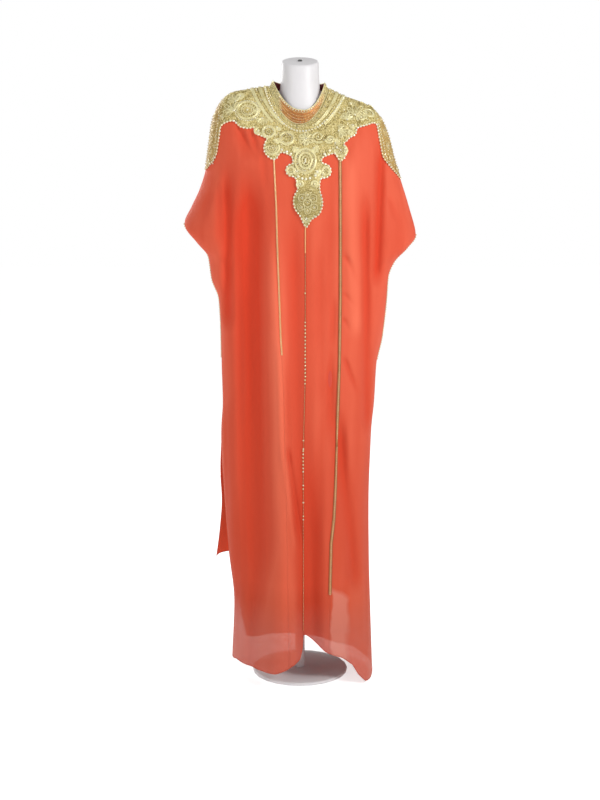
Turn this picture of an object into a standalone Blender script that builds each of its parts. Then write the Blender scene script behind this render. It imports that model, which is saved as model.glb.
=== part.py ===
"""A long kaftan with an embroidered yoke, worn by a limbless dress form on a round-footed stand.

Metres, +Z up, front towards -Y. The origin is the centre of the stand's flat foot, on the floor.
Sizes below are in millimetres and become metres where points are made. Left and right are as seen
from the front, so left is towards -X.
"""

import math
from collections import namedtuple

import bmesh
import bpy
from mathutils import Vector

MM = 0.001
FRONT = -1
BACK = 1

CLOTH = 1.5
SEAM_GAP = 0.4
LYING_GAP = 0.5
BRAID_HALF = 3.5
BRAID_THICK = 1.2
YOKE_THICK = 1.6
YOKE_GROUND = 0.4
LINING = 1.2
LINING_CLEARANCE = 4.0
LINING_EASE = 22.0
LINING_SLIT = 2.0
LINING_RINGS = 2.5
LINING_CALM = 0.75
LINING_CELLS = 16

# Each ring is a level of the cloth, from the neck down to the hem: its reach to either side, the
# heights of its sides, front and back, its depth to the front and back, how full the belly of the
# curve is, how round it rolls over the shoulder, and half the opening at its left and right edges.
Ring = namedtuple(
    "Ring",
    "name steps left back_left right left_z right_z front_z back_z front back belly roll "
    "left_slot right_slot",
)
RINGS = (
    Ring("neck", 2, 76, 76, 70, 1508, 1503, 1412, 1490, 66, 60, 1.00, 1.6, 0, 0),
    Ring("collarbone", 2, 122, 122, 110, 1502, 1484, 1384, 1474, 86, 78, 1.00, 1.7, 0, 0),
    Ring("mid_shoulder", 2, 166, 166, 152, 1494, 1468, 1354, 1450, 102, 92, 0.95, 1.8, 0, 0),
    Ring("shoulder", 2, 196, 196, 185, 1471, 1450, 1322, 1415, 115, 102, 0.90, 1.8, 0, 0),
    Ring("arm_top", 1, 215, 215, 204, 1430, 1424, 1290, 1370, 123, 108, 0.90, 1.7, 0, 0),
    Ring("arm_upper", 1, 224, 224, 220, 1378, 1384, 1258, 1320, 128, 110, 0.95, 1.5, 0, 0),
    Ring("arm_mid", 1, 233, 233, 234, 1318, 1332, 1226, 1268, 131, 112, 1.00, 1.3, 0, 0),
    Ring("arm_lower", 1, 250, 250, 254, 1262, 1275, 1192, 1215, 132, 113, 1.05, 1.2, 0, 0),
    Ring("wing", 1, 272, 272, 273, 1216, 1216, 1158, 1165, 132, 114, 1.10, 1.0, 0, 0),
    Ring("tip", 1, 290, 290, 291, 1175, 1148, 1125, 1128, 131, 114, 1.15, 1.0, 0, 0),
    Ring("cuff_top", 1, 262, 262, 269, 1136, 1115, 1092, 1095, 130, 114, 1.10, 1.0, 16, 16),
    Ring("cuff_upper", 2, 229, 229, 236, 1094, 1081, 1058, 1060, 129, 114, 1.05, 1.0, 27, 27),
    Ring("cuff_mid", 1, 220, 220, 220, 1036, 1040, 1016, 1016, 128, 114, 1.00, 1.0, 30, 30),
    Ring("cuff_lower", 1, 203, 203, 217, 984, 985, 965, 965, 127, 114, 1.00, 1.0, 24, 24),
    Ring("underarm", 1, 200, 200, 208, 898, 890, 890, 890, 126, 115, 0.95, 1.0, 7, 7),
    Ring("waist", 1, 200, 200, 195, 825, 820, 820, 820, 125, 116, 0.95, 1.0, 0, 0),
    Ring("hip", 2, 198, 198, 190, 724, 724, 724, 724, 126, 117, 0.95, 1.0, 0, 0),
    Ring("thigh", 2, 203, 203, 182, 620, 620, 620, 620, 128, 119, 0.95, 1.0, 0, 0),
    Ring("knee", 1, 196, 206, 178, 0, 0, 0, 0, 131, 121, 0.95, 1.0, 0, 0),
    Ring("shin", 2, 186, 203, 180, 0, 0, 0, 0, 135, 124, 0.95, 1.0, 4, 0),
    Ring("calf", 1, 172, 209, 185, 0, 0, 0, 0, 139, 128, 0.95, 1.0, 8, 0),
    Ring("hem", 0, 178, 219, 191, 0, 0, 0, 0, 144, 132, 0.95, 1.0, 10, 0),
)
RING_NAMES = [ring.name for ring in RINGS]
THIGH = RING_NAMES.index("thigh")
LAST = len(RINGS) - 1
CUFF_UPPER = RING_NAMES.index("cuff_upper")
WING = RING_NAMES.index("wing")
UNDERARM = RING_NAMES.index("underarm")
WAIST = RING_NAMES.index("waist")

# The hem's height across the front and the back, from left to right.
Spot = namedtuple("Spot", "x z")
FRONT_HEM = (
    Spot(-178, 46), Spot(-165, 54), Spot(-143, 51), Spot(-110, 45), Spot(-81, 46), Spot(-45, 55),
    Spot(-16, 67), Spot(4, 84), Spot(12, 138), Spot(47, 111), Spot(65, 95), Spot(105, 79),
    Spot(134, 58), Spot(150, 28), Spot(168, 8), Spot(192, 6),
)
BACK_HEM = (
    Spot(-219, 308), Spot(-184, 303), Spot(-170, 190), Spot(-145, 62), Spot(-60, 48),
    Spot(60, 46), Spot(140, 34), Spot(192, 12),
)
LINING_HEM = (
    Spot(-170, 205), Spot(-110, 186), Spot(-60, 172), Spot(0, 190), Spot(60, 226), Spot(110, 236),
    Spot(170, 214),
)

# Where the two gold braids and the middle line run down the front.
BRAID_ON_LEFT = (
    Spot(-56, 1412), Spot(-63, 1334), Spot(-57, 1220), Spot(-55, 1140), Spot(-47, 894), Spot(-40, 760),
    Spot(-26, 40),
)
BRAID_ON_RIGHT = (
    Spot(66, 1412), Spot(97, 1328), Spot(98, 992), Spot(92, 760), Spot(87, 630), Spot(80, 250),
    Spot(74, 40),
)
MIDDLE_LINE = (Spot(13, 1412), Spot(13, 800), Spot(8, 600), Spot(8, 40))

# The lower edge of the embroidery, lobe by lobe, with the drop in the middle and the bands that run
# on down the upper arms at both ends.
YOKE_EDGE = (
    Spot(-300, 1306), Spot(-231, 1306), Spot(-222, 1318), Spot(-212, 1326), Spot(-203, 1343),
    Spot(-199, 1367), Spot(-195, 1393), Spot(-193, 1412), Spot(-178, 1420), Spot(-162, 1424),
    Spot(-151, 1414), Spot(-140, 1407), Spot(-131, 1404), Spot(-121, 1404), Spot(-112, 1408),
    Spot(-110, 1398), Spot(-106, 1390), Spot(-96, 1386), Spot(-86, 1382), Spot(-78, 1377),
    Spot(-84, 1370), Spot(-87, 1358), Spot(-85, 1346), Spot(-78, 1337), Spot(-70, 1331),
    Spot(-60, 1328), Spot(-54, 1334), Spot(-51, 1342), Spot(-44, 1347), Spot(-36, 1344),
    Spot(-27, 1340), Spot(-20, 1338), Spot(-17, 1328), Spot(-16, 1318), Spot(-24, 1317),
    Spot(-31, 1312), Spot(-34, 1303), Spot(-31, 1294), Spot(-23, 1289), Spot(-12, 1288),
    Spot(-8, 1279), Spot(-6, 1267), Spot(-4, 1258), Spot(-11, 1248), Spot(-15, 1236),
    Spot(-15, 1222), Spot(-10, 1208), Spot(-1, 1198), Spot(4, 1188), Spot(8, 1177), Spot(15, 1166),
    Spot(22, 1177), Spot(27, 1187), Spot(38, 1193), Spot(47, 1200), Spot(52, 1212), Spot(54, 1226),
    Spot(52, 1240), Spot(48, 1250), Spot(46, 1262), Spot(47, 1275), Spot(50, 1285), Spot(62, 1285),
    Spot(71, 1290), Spot(75, 1300), Spot(72, 1311), Spot(64, 1317), Spot(54, 1318), Spot(50, 1326),
    Spot(54, 1334), Spot(66, 1339), Spot(80, 1344), Spot(87, 1342), Spot(90, 1333), Spot(96, 1327),
    Spot(103, 1327), Spot(109, 1335), Spot(111, 1346), Spot(109, 1358), Spot(104, 1367),
    Spot(114, 1374), Spot(120, 1382), Spot(132, 1386), Spot(137, 1395), Spot(136, 1403),
    Spot(144, 1407), Spot(152, 1409), Spot(165, 1413), Spot(178, 1419), Spot(187, 1416),
    Spot(190, 1400), Spot(192, 1385), Spot(196, 1366), Spot(200, 1345), Spot(209, 1328),
    Spot(222, 1312), Spot(238, 1296), Spot(252, 1280), Spot(300, 1276),
)
BACK_YOKE_EDGE = (
    Spot(-300, 1306), Spot(-231, 1306), Spot(-222, 1318), Spot(-212, 1326), Spot(-203, 1343),
    Spot(-199, 1367), Spot(-196, 1440), Spot(-172, 1426), Spot(-150, 1430), Spot(-126, 1416),
    Spot(-100, 1420), Spot(-76, 1404), Spot(-50, 1412), Spot(-26, 1392), Spot(0, 1386), Spot(26, 1392),
    Spot(50, 1412), Spot(76, 1404), Spot(100, 1420), Spot(126, 1414), Spot(150, 1428),
    Spot(172, 1424), Spot(190, 1432), Spot(196, 1366), Spot(200, 1345), Spot(209, 1328),
    Spot(222, 1312), Spot(238, 1296), Spot(252, 1280), Spot(300, 1276),
)

# Raised medallions of the embroidery: their middle, their reach and their height.
Dome = namedtuple("Dome", "name x z radius height")
FRONT_DOMES = (
    Dome("left_shoulder", -128, 1445, 38, 2.4), Dome("left_ring", -76, 1394, 22, 1.8),
    Dome("left_eye", -32, 1378, 21, 1.8), Dome("middle_flower", 15, 1378, 22, 1.8),
    Dome("right_swirl", 44, 1381, 20, 1.8), Dome("right_whorl", 70, 1375, 16, 1.6),
    Dome("right_leaves", 110, 1396, 22, 1.8), Dome("right_shoulder", 149, 1441, 36, 2.4),
    Dome("middle_medallion", 13, 1325, 31, 2.6), Dome("left_lobe", -66, 1353, 20, 1.8),
    Dome("right_lobe", 98, 1348, 19, 1.8), Dome("left_curl", 3, 1272, 13, 1.4),
    Dome("right_curl", 33, 1271, 13, 1.4), Dome("left_loop", -22, 1302, 12, 1.4),
    Dome("right_loop", 62, 1301, 12, 1.4), Dome("drop", 18, 1226, 34, 2.4),
)
BACK_DOMES = (
    Dome("left_shoulder", -137, 1460, 32, 1.8), Dome("right_shoulder", 139, 1452, 32, 1.8),
    Dome("left_inner", -70, 1446, 28, 1.6), Dome("right_inner", 70, 1446, 28, 1.6),
    Dome("middle", 0, 1432, 32, 2.0),
)

# Folds of the hanging cloth. Depth is inwards, and a negative one stands out as a ridge.
Fold = namedtuple("Fold", "name x_top x_low z_top z_low depth half_width fade")
FOLD_FOOT = 60.0
CALM_EDGE = 0.3
NORMAL_REACH = 0.02
FRONT_FOLDS = (
    Fold("left_sleeve_crease", -199, -196, 1290, 1100, 6, 10, 60),
    Fold("left_arm_crease", -177, -180, 1330, 900, 15, 13, 90),
    Fold("left_long_valley", -124, -104, 1330, -60, 24, 34, 150),
    Fold("left_ridge", -72, -24, 1230, -60, -9, 30, 220),
    Fold("middle_upper_valley", -16, -4, 1250, 380, 8, 20, 200),
    Fold("middle_valley", 24, 27, 700, -60, 28, 30, 330),
    Fold("braid_valley", 92, 142, 740, 230, 16, 16, 110),
    Fold("right_upper_ridge", 120, 136, 1400, 880, -7, 20, 110),
    Fold("right_inner_crease", 158, 168, 1270, 640, 11, 12, 110),
    Fold("right_arm_crease", 200, 188, 1390, 1010, 15, 12, 80),
    Fold("hem_swell_left", -82, -84, 420, -60, -34, 58, 330),
    Fold("hem_swell_right", 132, 150, 380, -60, -16, 46, 300),
    Fold("hem_corner_right", 176, 178, 300, -60, -24, 20, 260),
    Fold("breast_crease_outer", -150, -124, 1416, 1320, 6, 12, 30),
    Fold("breast_crease_inner", -118, -100, 1404, 1318, 5, 10, 30),
)
BACK_FOLDS = (
    Fold("back_left_crease", -186, -188, 1330, 900, 13, 14, 90),
    Fold("back_left_valley", -120, -128, 1300, -60, 20, 34, 200),
    Fold("back_middle_ridge", -8, -4, 1250, -60, -12, 44, 260),
    Fold("back_right_valley", 86, 96, 1280, -60, 18, 34, 220),
    Fold("back_right_crease", 186, 184, 1330, 700, 12, 14, 100),
    Fold("back_hem_swell", -60, -62, 420, -60, -18, 50, 300),
)

# The dress form below the cloth-covered shoulders, and its neck above them.
Torso = namedtuple("Torso", "name half_width side_z front_z back_z front back belly roll")
NECK_RINGS = (
    Torso("neck_top", 44, 1571, 1557, 1585, 43, 43, 1.0, 1.0),
    Torso("neck_rim", 46, 1566, 1552, 1580, 45, 45, 1.0, 1.0),
    Torso("neck_mid", 47, 1530, 1514, 1543, 47, 47, 1.0, 1.0),
    Torso("neck_low", 50, 1500, 1462, 1510, 50, 50, 1.0, 1.2),
    Torso("neck_root", 58, 1497, 1432, 1494, 54, 53, 1.0, 1.4),
)
TORSO_RINGS = (
    Torso("shoulder_cap", 190, 1432, 1298, 1386, 103, 91, 0.80, 1.5),
    Torso("armhole", 180, 1376, 1268, 1330, 106, 90, 0.80, 1.3),
    Torso("bust", 163, 1306, 1232, 1268, 103, 86, 0.85, 1.1),
    Torso("underbust", 146, 1200, 1180, 1185, 90, 80, 0.90, 1.0),
    Torso("waist", 124, 1095, 1095, 1095, 82, 76, 0.95, 1.0),
    Torso("belly", 148, 990, 990, 990, 94, 92, 0.95, 1.0),
    Torso("hip", 162, 895, 895, 895, 94, 90, 0.95, 1.0),
    Torso("seat", 156, 845, 845, 845, 88, 86, 0.95, 1.0),
    Torso("torso_rim", 142, 812, 812, 812, 80, 78, 0.95, 1.0),
    Torso("torso_foot", 134, 806, 806, 806, 74, 72, 0.95, 1.0),
)
COVERED_RINGS = (0, 1, 2, 3)
SHOULDER_REST = 0.45
CHEST_CLEARANCE = 9.0
FORM_HALF_COLUMNS = 14

COLLAR_THICK = 2.0
Band = namedtuple("Band", "lift front_lean back_lean front_rise back_rise right_dip")
COLLAR_BANDS = (Band(1.6, 2, 1, 1.6, 1.6, 0), Band(9, 6, 2, 18, 10, 8), Band(15, 9, 3, 38, 24, 18))

CUTTER_TOP = 1700
CUTTER_FOOT = -100
CUTTER_DEPTH = 300

TRIM_RADIUS = 1.6
TRIM_GAP = 0.9
POLE_RADIUS = 12.5
FOOT_RADIUS = 125.0
FOOT_THICK = 9.0
FLANGE_RADIUS = 34.0
FLANGE_THICK = 6.0
PLUG_RADIUS = 6.0
PLUG_THICK = 2.5
ROUND_STEPS = 24

# Cells across the front between its named lines: side edge, braid edges, middle line, and back out.
FRONT_CELLS = (12, 1, 1, 2, 1, 1, 2, 1, 1, 12)
BACK_CELLS = 20

COLOURS = {
    "coral_cloth": ((0.86, 0.17, 0.09, 1), 0.62, 0.0),
    "coral_lining": ((0.74, 0.10, 0.05, 1), 0.7, 0.0),
    "gold_work": ((0.72, 0.55, 0.24, 1), 0.38, 0.75),
    "white_form": ((0.82, 0.80, 0.77, 1), 0.5, 0.0),
    "steel": ((0.62, 0.62, 0.62, 1), 0.3, 1.0),
    "dark_plug": ((0.08, 0.08, 0.08, 1), 0.5, 0.0),
}


def clear_scene():
    for obj in list(bpy.data.objects):
        bpy.data.objects.remove(obj, do_unlink=True)


def material(name):
    found = bpy.data.materials.get(name)
    if found:
        return found
    colour, roughness, metallic = COLOURS[name]
    made = bpy.data.materials.new(name)
    made.use_nodes = True
    shader = made.node_tree.nodes["Principled BSDF"]
    shader.inputs["Base Color"].default_value = colour
    shader.inputs["Roughness"].default_value = roughness
    shader.inputs["Metallic"].default_value = metallic
    return made


def smoothstep(t):
    t = min(1.0, max(0.0, t))
    return t * t * (3 - 2 * t)


def eased(values, v):
    """A smooth curve through evenly spaced values, with no overshoot between them."""
    low = min(int(v), len(values) - 2)
    t = v - low
    steps = [b - a for a, b in zip(values, values[1:])]

    def slope(k):
        if k == 0 or k == len(values) - 1:
            return steps[max(0, k - 1)]
        before, after = steps[k - 1], steps[k]
        if before * after <= 0:
            return 0.0
        return 2 * before * after / (before + after)

    rise = steps[low]
    start, end = slope(low), slope(low + 1)
    return values[low] + start * t + (3 * rise - 2 * start - end) * t * t + (start + end - 2 * rise) * t ** 3


def along(spots, x):
    """The height of an outline given as spots, at x."""
    if x <= spots[0].x:
        return spots[0].z
    for a, b in zip(spots, spots[1:]):
        if x <= b.x:
            return a.z + (b.z - a.z) * (x - a.x) / (b.x - a.x)
    return spots[-1].z


def run_at(spots, z):
    """The x of a line that runs down through spots, at height z."""
    if z >= spots[0].z:
        return spots[0].x
    for a, b in zip(spots, spots[1:]):
        if z >= b.z:
            return a.x + (b.x - a.x) * (z - a.z) / (b.z - a.z)
    return spots[-1].x


def ring_value(column, v):
    return eased([getattr(ring, column) for ring in RINGS], v)


def fold_depth(folds, x, z):
    total = 0.0
    for fold in folds:
        share = (fold.z_top - z) / (fold.z_top - fold.z_low)
        line = fold.x_top + (fold.x_low - fold.x_top) * min(1.0, max(0.0, share))
        window = smoothstep((fold.z_top - z) / fold.fade) * smoothstep((z - fold.z_low) / FOLD_FOOT)
        total += fold.depth * window * math.exp(-(((x - line) / fold.half_width) ** 2))
    return total


def cloth_point(face, phi, v, fold_share=1.0):
    """A point of the cloth's middle surface, in millimetres. phi runs from -90 degrees at the
    left edge, through 0 at the middle, to +90 at the right edge. v counts the rings."""
    sine, cosine = math.sin(phi), max(0.0, math.cos(phi))
    side = "right" if sine >= 0 else ("left" if face == FRONT else "back_left")
    x = ring_value(side, v) * sine
    slot = max(SEAM_GAP / 2, ring_value("right_slot" if sine >= 0 else "left_slot", v))
    depth = ring_value("front" if face == FRONT else "back", v)
    y = slot + (depth - slot) * cosine ** ring_value("belly", v)
    hang = min(v, THIGH)
    z_side = ring_value("right_z" if sine >= 0 else "left_z", hang)
    z_middle = ring_value("front_z" if face == FRONT else "back_z", hang)
    z = z_side + (z_middle - z_side) * cosine ** ring_value("roll", hang)
    if v > THIGH:
        z += (along(FRONT_HEM if face == FRONT else BACK_HEM, x) - z) * (v - THIGH) / (LAST - THIGH)
    folds = FRONT_FOLDS if face == FRONT else BACK_FOLDS
    y -= fold_share * fold_depth(folds, x, z) * smoothstep(cosine / CALM_EDGE)
    return Vector((x, face * y, z))


def cloth_normal(face, phi, v, fold_share=1.0):
    """The outward normal there. Along a closed side seam it lies in the seam's plane."""
    edge = math.pi / 2
    reach = NORMAL_REACH
    across = cloth_point(face, min(edge, phi + reach), v, fold_share) - cloth_point(
        face, max(-edge, phi - reach), v, fold_share
    )
    down = cloth_point(face, phi, min(LAST, v + reach), fold_share) - cloth_point(
        face, phi, max(0, v - reach), fold_share
    )
    normal = across.cross(down) * face
    if edge - abs(phi) < 1e-6 and ring_value("right_slot" if phi > 0 else "left_slot", v) < 1:
        normal.y = 0
    return normal.normalized()


def ring_steps(first=0, last=LAST):
    """The values of v where the cloth has a row of points."""
    rows = []
    for k in range(first, last):
        steps = RINGS[k].steps
        rows += [k + n / steps for n in range(steps)]
    return rows + [last]


def angle_of(x, v):
    side = ring_value("right" if x >= 0 else "left", v)
    return math.asin(max(-1.0, min(1.0, x / side)))


def front_angles(v):
    """The angles of the front's columns: its edges, its braids and its middle line keep their columns."""
    middle_z = cloth_point(FRONT, 0, v, 0).z
    lines = [-math.pi / 2]
    for spots in (BRAID_ON_LEFT, MIDDLE_LINE, BRAID_ON_RIGHT):
        x = run_at(spots, middle_z)
        lines += [angle_of(x + shift, v) for shift in (-BRAID_HALF, 0, BRAID_HALF)]
    lines.append(math.pi / 2)
    angles = [lines[0]]
    for cells, a, b in zip(FRONT_CELLS, lines, lines[1:]):
        angles += [a + (b - a) * (n + 1) / cells for n in range(cells)]
    return angles


def back_angles(v):
    return [-math.pi / 2 + math.pi * n / BACK_CELLS for n in range(BACK_CELLS + 1)]


def patch(face, rows, angles):
    """Rows of (point, normal) of the cloth's middle surface."""
    return [
        [(cloth_point(face, phi, v), cloth_normal(face, phi, v)) for phi in angles(v)] for v in rows
    ]


def parted(rows, first, last):
    """The columns first to last, with the cut edges drawn back by half a seam gap."""
    cut = []
    for row in rows:
        piece = list(row[first:last + 1])
        if first > 0:
            piece[0] = drawn_back(piece[0], piece[1])
        if last < len(row) - 1:
            piece[-1] = drawn_back(piece[-1], piece[-2])
        cut.append(piece)
    return cut


def drawn_back(spot, neighbour):
    point, normal = spot
    return point + (neighbour[0] - point).normalized() * SEAM_GAP / 2, normal


def add_object(name, mesh, colour):
    obj = bpy.data.objects.new(name, mesh)
    obj.data.materials.append(material(colour))
    bpy.data.collections["kaftan_on_form"].objects.link(obj)
    return obj


def finish_mesh(name, bm, colour):
    bmesh.ops.recalc_face_normals(bm, faces=bm.faces)
    mesh = bpy.data.meshes.new(name)
    bm.to_mesh(mesh)
    bm.free()
    mesh.shade_smooth()
    mesh.set_sharp_from_angle(angle=math.radians(50))
    return add_object(name, mesh, colour)


def wall(name, rows, low, high, colour, closed=False):
    """A wall of cloth lofted between two skins: each point moved along its normal by low and by high.
    Both skins share each cell's shorter diagonal, so that the wall keeps its thickness."""
    bm = bmesh.new()
    heights = high if callable(high) else (lambda j, i: high)
    lows = low if callable(low) else (lambda j, i: low)
    inner = []
    outer = []
    for j, row in enumerate(rows):
        inner.append([bm.verts.new((p + n * lows(j, i)) * MM) for i, (p, n) in enumerate(row)])
        outer.append([bm.verts.new((p + n * heights(j, i)) * MM) for i, (p, n) in enumerate(row)])
    columns = len(rows[0])
    cells = columns if closed else columns - 1
    for j in range(len(rows) - 1):
        for i in range(cells):
            k = (i + 1) % columns
            falling = (rows[j][i][0] - rows[j + 1][k][0]).length
            rising = (rows[j + 1][i][0] - rows[j][k][0]).length
            for skin, turned in ((outer, False), (inner, True)):
                a, b, c, d = skin[j][i], skin[j][k], skin[j + 1][k], skin[j + 1][i]
                triangles = ((a, b, c), (a, c, d)) if falling <= rising else ((a, b, d), (b, c, d))
                for triangle in triangles:
                    bm.faces.new(triangle[::-1] if turned else triangle)
    for j in (0, len(rows) - 1):
        for i in range(cells):
            k = (i + 1) % columns
            bm.faces.new((inner[j][i], inner[j][k], outer[j][k], outer[j][i]))
    if not closed:
        for i in (0, columns - 1):
            for j in range(len(rows) - 1):
                bm.faces.new((inner[j][i], inner[j + 1][i], outer[j + 1][i], outer[j][i]))
    return finish_mesh(name, bm, colour)


def column_of(line):
    """The front column of the braid or line numbered line, counted from the left."""
    return sum(FRONT_CELLS[:3 * line + 2])


def make_panels(front, back):
    half = CLOTH / 2
    seams = [0] + [column_of(line) for line in range(3)] + [sum(FRONT_CELLS)]
    names = ("front_side_left", "front_centre_left", "front_centre_right", "front_side_right")
    for name, first, last in zip(names, seams, seams[1:]):
        wall(name, parted(front, first, last), -half, half, "coral_cloth")
    wall("back_panel", back, -half, half, "coral_cloth")


def cutter(name, face, edge, above):
    """A prism through the whole width, above or below an outline of the embroidery."""
    corner_z = CUTTER_TOP if above else CUTTER_FOOT
    outline = [(spot.x, spot.z) for spot in edge] + [(edge[-1].x, corner_z), (edge[0].x, corner_z)]
    bm = bmesh.new()
    near = [bm.verts.new((x * MM, 0, z * MM)) for x, z in outline]
    far = [bm.verts.new((x * MM, face * CUTTER_DEPTH * MM, z * MM)) for x, z in outline]
    bm.faces.new(near)
    bm.faces.new(far[::-1])
    for i in range(len(outline)):
        k = (i + 1) % len(outline)
        bm.faces.new((near[k], near[i], far[i], far[k]))
    bmesh.ops.recalc_face_normals(bm, faces=bm.faces)
    mesh = bpy.data.meshes.new(name)
    bm.to_mesh(mesh)
    bm.free()
    obj = bpy.data.objects.new(name, mesh)
    obj.hide_render = True
    obj.display_type = "WIRE"
    bpy.data.collections["cutters"].objects.link(obj)
    return obj


def keep_inside(obj, shape):
    cut = obj.modifiers.new("outline", "BOOLEAN")
    cut.operation = "INTERSECT"
    cut.object = shape


def make_braids(front):
    """The gold lines run on the panels' own columns, from the embroidery's edge to the hem."""
    low = CLOTH / 2 + LYING_GAP
    below = [Spot(spot.x, spot.z - SEAM_GAP) for spot in YOKE_EDGE]
    free = cutter("below_yoke", FRONT, below, above=False)
    for line, name in enumerate(("braid_left", "middle_beading", "braid_right")):
        middle = column_of(line)
        rows = [row[middle - 1:middle + 2] for row in front]
        keep_inside(wall(name, rows, low, low + BRAID_THICK, "gold_work"), free)


def make_yoke(name, face, rows, edge, domes):
    """The embroidery is the panel's own grid moved out, raised at its medallions, and cut to its lobes."""
    low = CLOTH / 2 + LYING_GAP

    def height(j, i):
        point = rows[j][i][0]
        raised = YOKE_GROUND * ((i + j) % 2)
        for dome in domes:
            reach = math.hypot(point.x - dome.x, point.z - dome.z) / dome.radius
            raised = max(raised, dome.height * math.sqrt(max(0.0, 1 - reach * reach)))
        return low + YOKE_THICK + raised

    keep_inside(wall(name, rows, low, height, "gold_work"), cutter(f"{name}_outline", face, edge, above=True))


def hem_share(face, phi, z):
    """The ring count at which the cloth comes down to height z, under its thighs."""
    low, high = float(THIGH), float(LAST)
    for _ in range(24):
        middle = (low + high) / 2
        if cloth_point(face, phi, middle).z > z:
            low = middle
        else:
            high = middle
    return low


def make_lining(name, face):
    """The lining is caught in the side seams, hangs inside the cloth, and its folds ease off lower down."""
    rows = []
    for v in ring_steps(WAIST):
        share = smoothstep((v - WAIST) / LINING_RINGS)
        fold_share = 1 - LINING_CALM * share
        row = []
        for n in range(LINING_CELLS + 1):
            phi = -math.pi / 2 + math.pi * n / LINING_CELLS
            level, height = v, None
            if v > THIGH:
                top = cloth_point(face, phi, THIGH, fold_share)
                height = top.z + (along(LINING_HEM, top.x) - top.z) * (v - THIGH) / (LAST - THIGH)
                level = hem_share(face, phi, height)
            point = cloth_point(face, phi, level, fold_share)
            normal = cloth_normal(face, phi, level, fold_share)
            if face == BACK and point.x < 0 and height is not None:
                beside = hem_share(FRONT, phi, height)
                point.x *= ring_value("left", beside) / ring_value("back_left", level)
            at_seam = n in (0, LINING_CELLS)
            if at_seam:
                normal = Vector((math.sin(phi), 0, 0))
            ease = smoothstep(math.cos(phi) / CALM_EDGE)
            inward = CLOTH / 2 + SEAM_GAP + LINING / 2
            inward += (LINING_CLEARANCE + LINING_EASE * share) * ease
            inward += LINING_SLIT * smoothstep(v - THIGH) * (1 - ease)
            point = point - normal * inward
            if height is not None:
                point.z = height
            if at_seam:
                point.y = face * SEAM_GAP / 2
            row.append((point, normal))
        rows.append(row)
    wall(name, rows, -LINING / 2, LINING / 2, "coral_lining")


def torso_point(ring, phi, face):
    sine, cosine = math.sin(phi), max(0.0, math.cos(phi))
    depth = ring.front if face == FRONT else ring.back
    z_middle = ring.front_z if face == FRONT else ring.back_z
    return Vector((
        ring.half_width * sine,
        face * depth * cosine ** ring.belly,
        ring.side_z + (z_middle - ring.side_z) * cosine ** ring.roll,
    ))


def round_angles(half_columns):
    """Once round: across the front from right to left, then across the back from left to right."""
    step = math.pi / half_columns
    front = [(FRONT, -math.pi / 2 + step * n) for n in range(half_columns)]
    back = [(BACK, math.pi / 2 - step * n) for n in range(half_columns)]
    return front + back


def make_form():
    """One closed body: the neck, the shoulders under the cloth, then the torso down to its flat foot."""
    turns = round_angles(FORM_HALF_COLUMNS)
    rings = [[torso_point(ring, phi, face) for face, phi in turns] for ring in NECK_RINGS]
    for v in COVERED_RINGS:
        ring = []
        for face, phi in turns:
            point = cloth_point(face, phi, v, 0)
            normal = cloth_normal(face, phi, v, 0)
            if math.pi / 2 - abs(phi) < 1e-6:
                point.y = 0
            clearance = CLOTH / 2 + SHOULDER_REST + CHEST_CLEARANCE * math.cos(phi)
            ring.append(point - normal * clearance)
        rings.append(ring)
    rings += [[torso_point(ring, phi, face) for face, phi in turns] for ring in TORSO_RINGS]
    bm = bmesh.new()
    loops = [[bm.verts.new(point * MM) for point in ring] for ring in rings]
    count = len(turns)
    for above, below in zip(loops, loops[1:]):
        for i in range(count):
            k = (i + 1) % count
            bm.faces.new((above[i], above[k], below[k], below[i]))
    bm.faces.new(loops[0])
    bm.faces.new(loops[-1])
    finish_mesh("form_torso", bm, "white_form")


def make_collar():
    """A stand collar, in bands that rise from the neck edge and lean in towards the neck."""
    turns = [(FRONT, phi) for phi in front_angles(0)[:-1]]
    turns += [(BACK, phi) for phi in back_angles(0)[:0:-1]]
    rows = []
    for band in COLLAR_BANDS:
        row = []
        for face, phi in turns:
            edge = cloth_point(face, phi, 0, 0)
            if math.pi / 2 - abs(phi) < 1e-6:
                edge.y = 0
            outwards = Vector((edge.x, edge.y, 0)).normalized()
            rise, lean = (
                (band.front_rise, band.front_lean) if face == FRONT else (band.back_rise, band.back_lean)
            )
            lift = band.lift + (rise - band.lift) * math.cos(phi)
            if face == FRONT:
                lift -= band.right_dip * max(0.0, math.sin(phi)) * math.cos(phi)
            lean = band.front_lean + (lean - band.front_lean) * math.cos(phi)
            row.append((edge - outwards * lean + Vector((0, 0, lift)), outwards))
        rows.append(row)
    wall("collar", rows, -COLLAR_THICK / 2, COLLAR_THICK / 2, "gold_work", closed=True)


def make_trim(name, rows, column):
    """A gold cord along one edge of a sleeve opening, point for point beside the panel's edge."""
    beside = 1 if column == 0 else -2
    points = []
    for row in rows:
        edge = row[column][0]
        out = (edge - row[beside][0]).normalized()
        points.append(edge + out * (TRIM_RADIUS + TRIM_GAP))
    curve = bpy.data.curves.new(name, "CURVE")
    curve.dimensions = "3D"
    curve.bevel_depth = TRIM_RADIUS * MM
    curve.bevel_resolution = 1
    curve.use_fill_caps = True
    spline = curve.splines.new("POLY")
    spline.points.add(len(points) - 1)
    for target, point in zip(spline.points, points):
        target.co = (point.x * MM, point.y * MM, point.z * MM, 1)
    add_object(name, curve, "gold_work")


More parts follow.
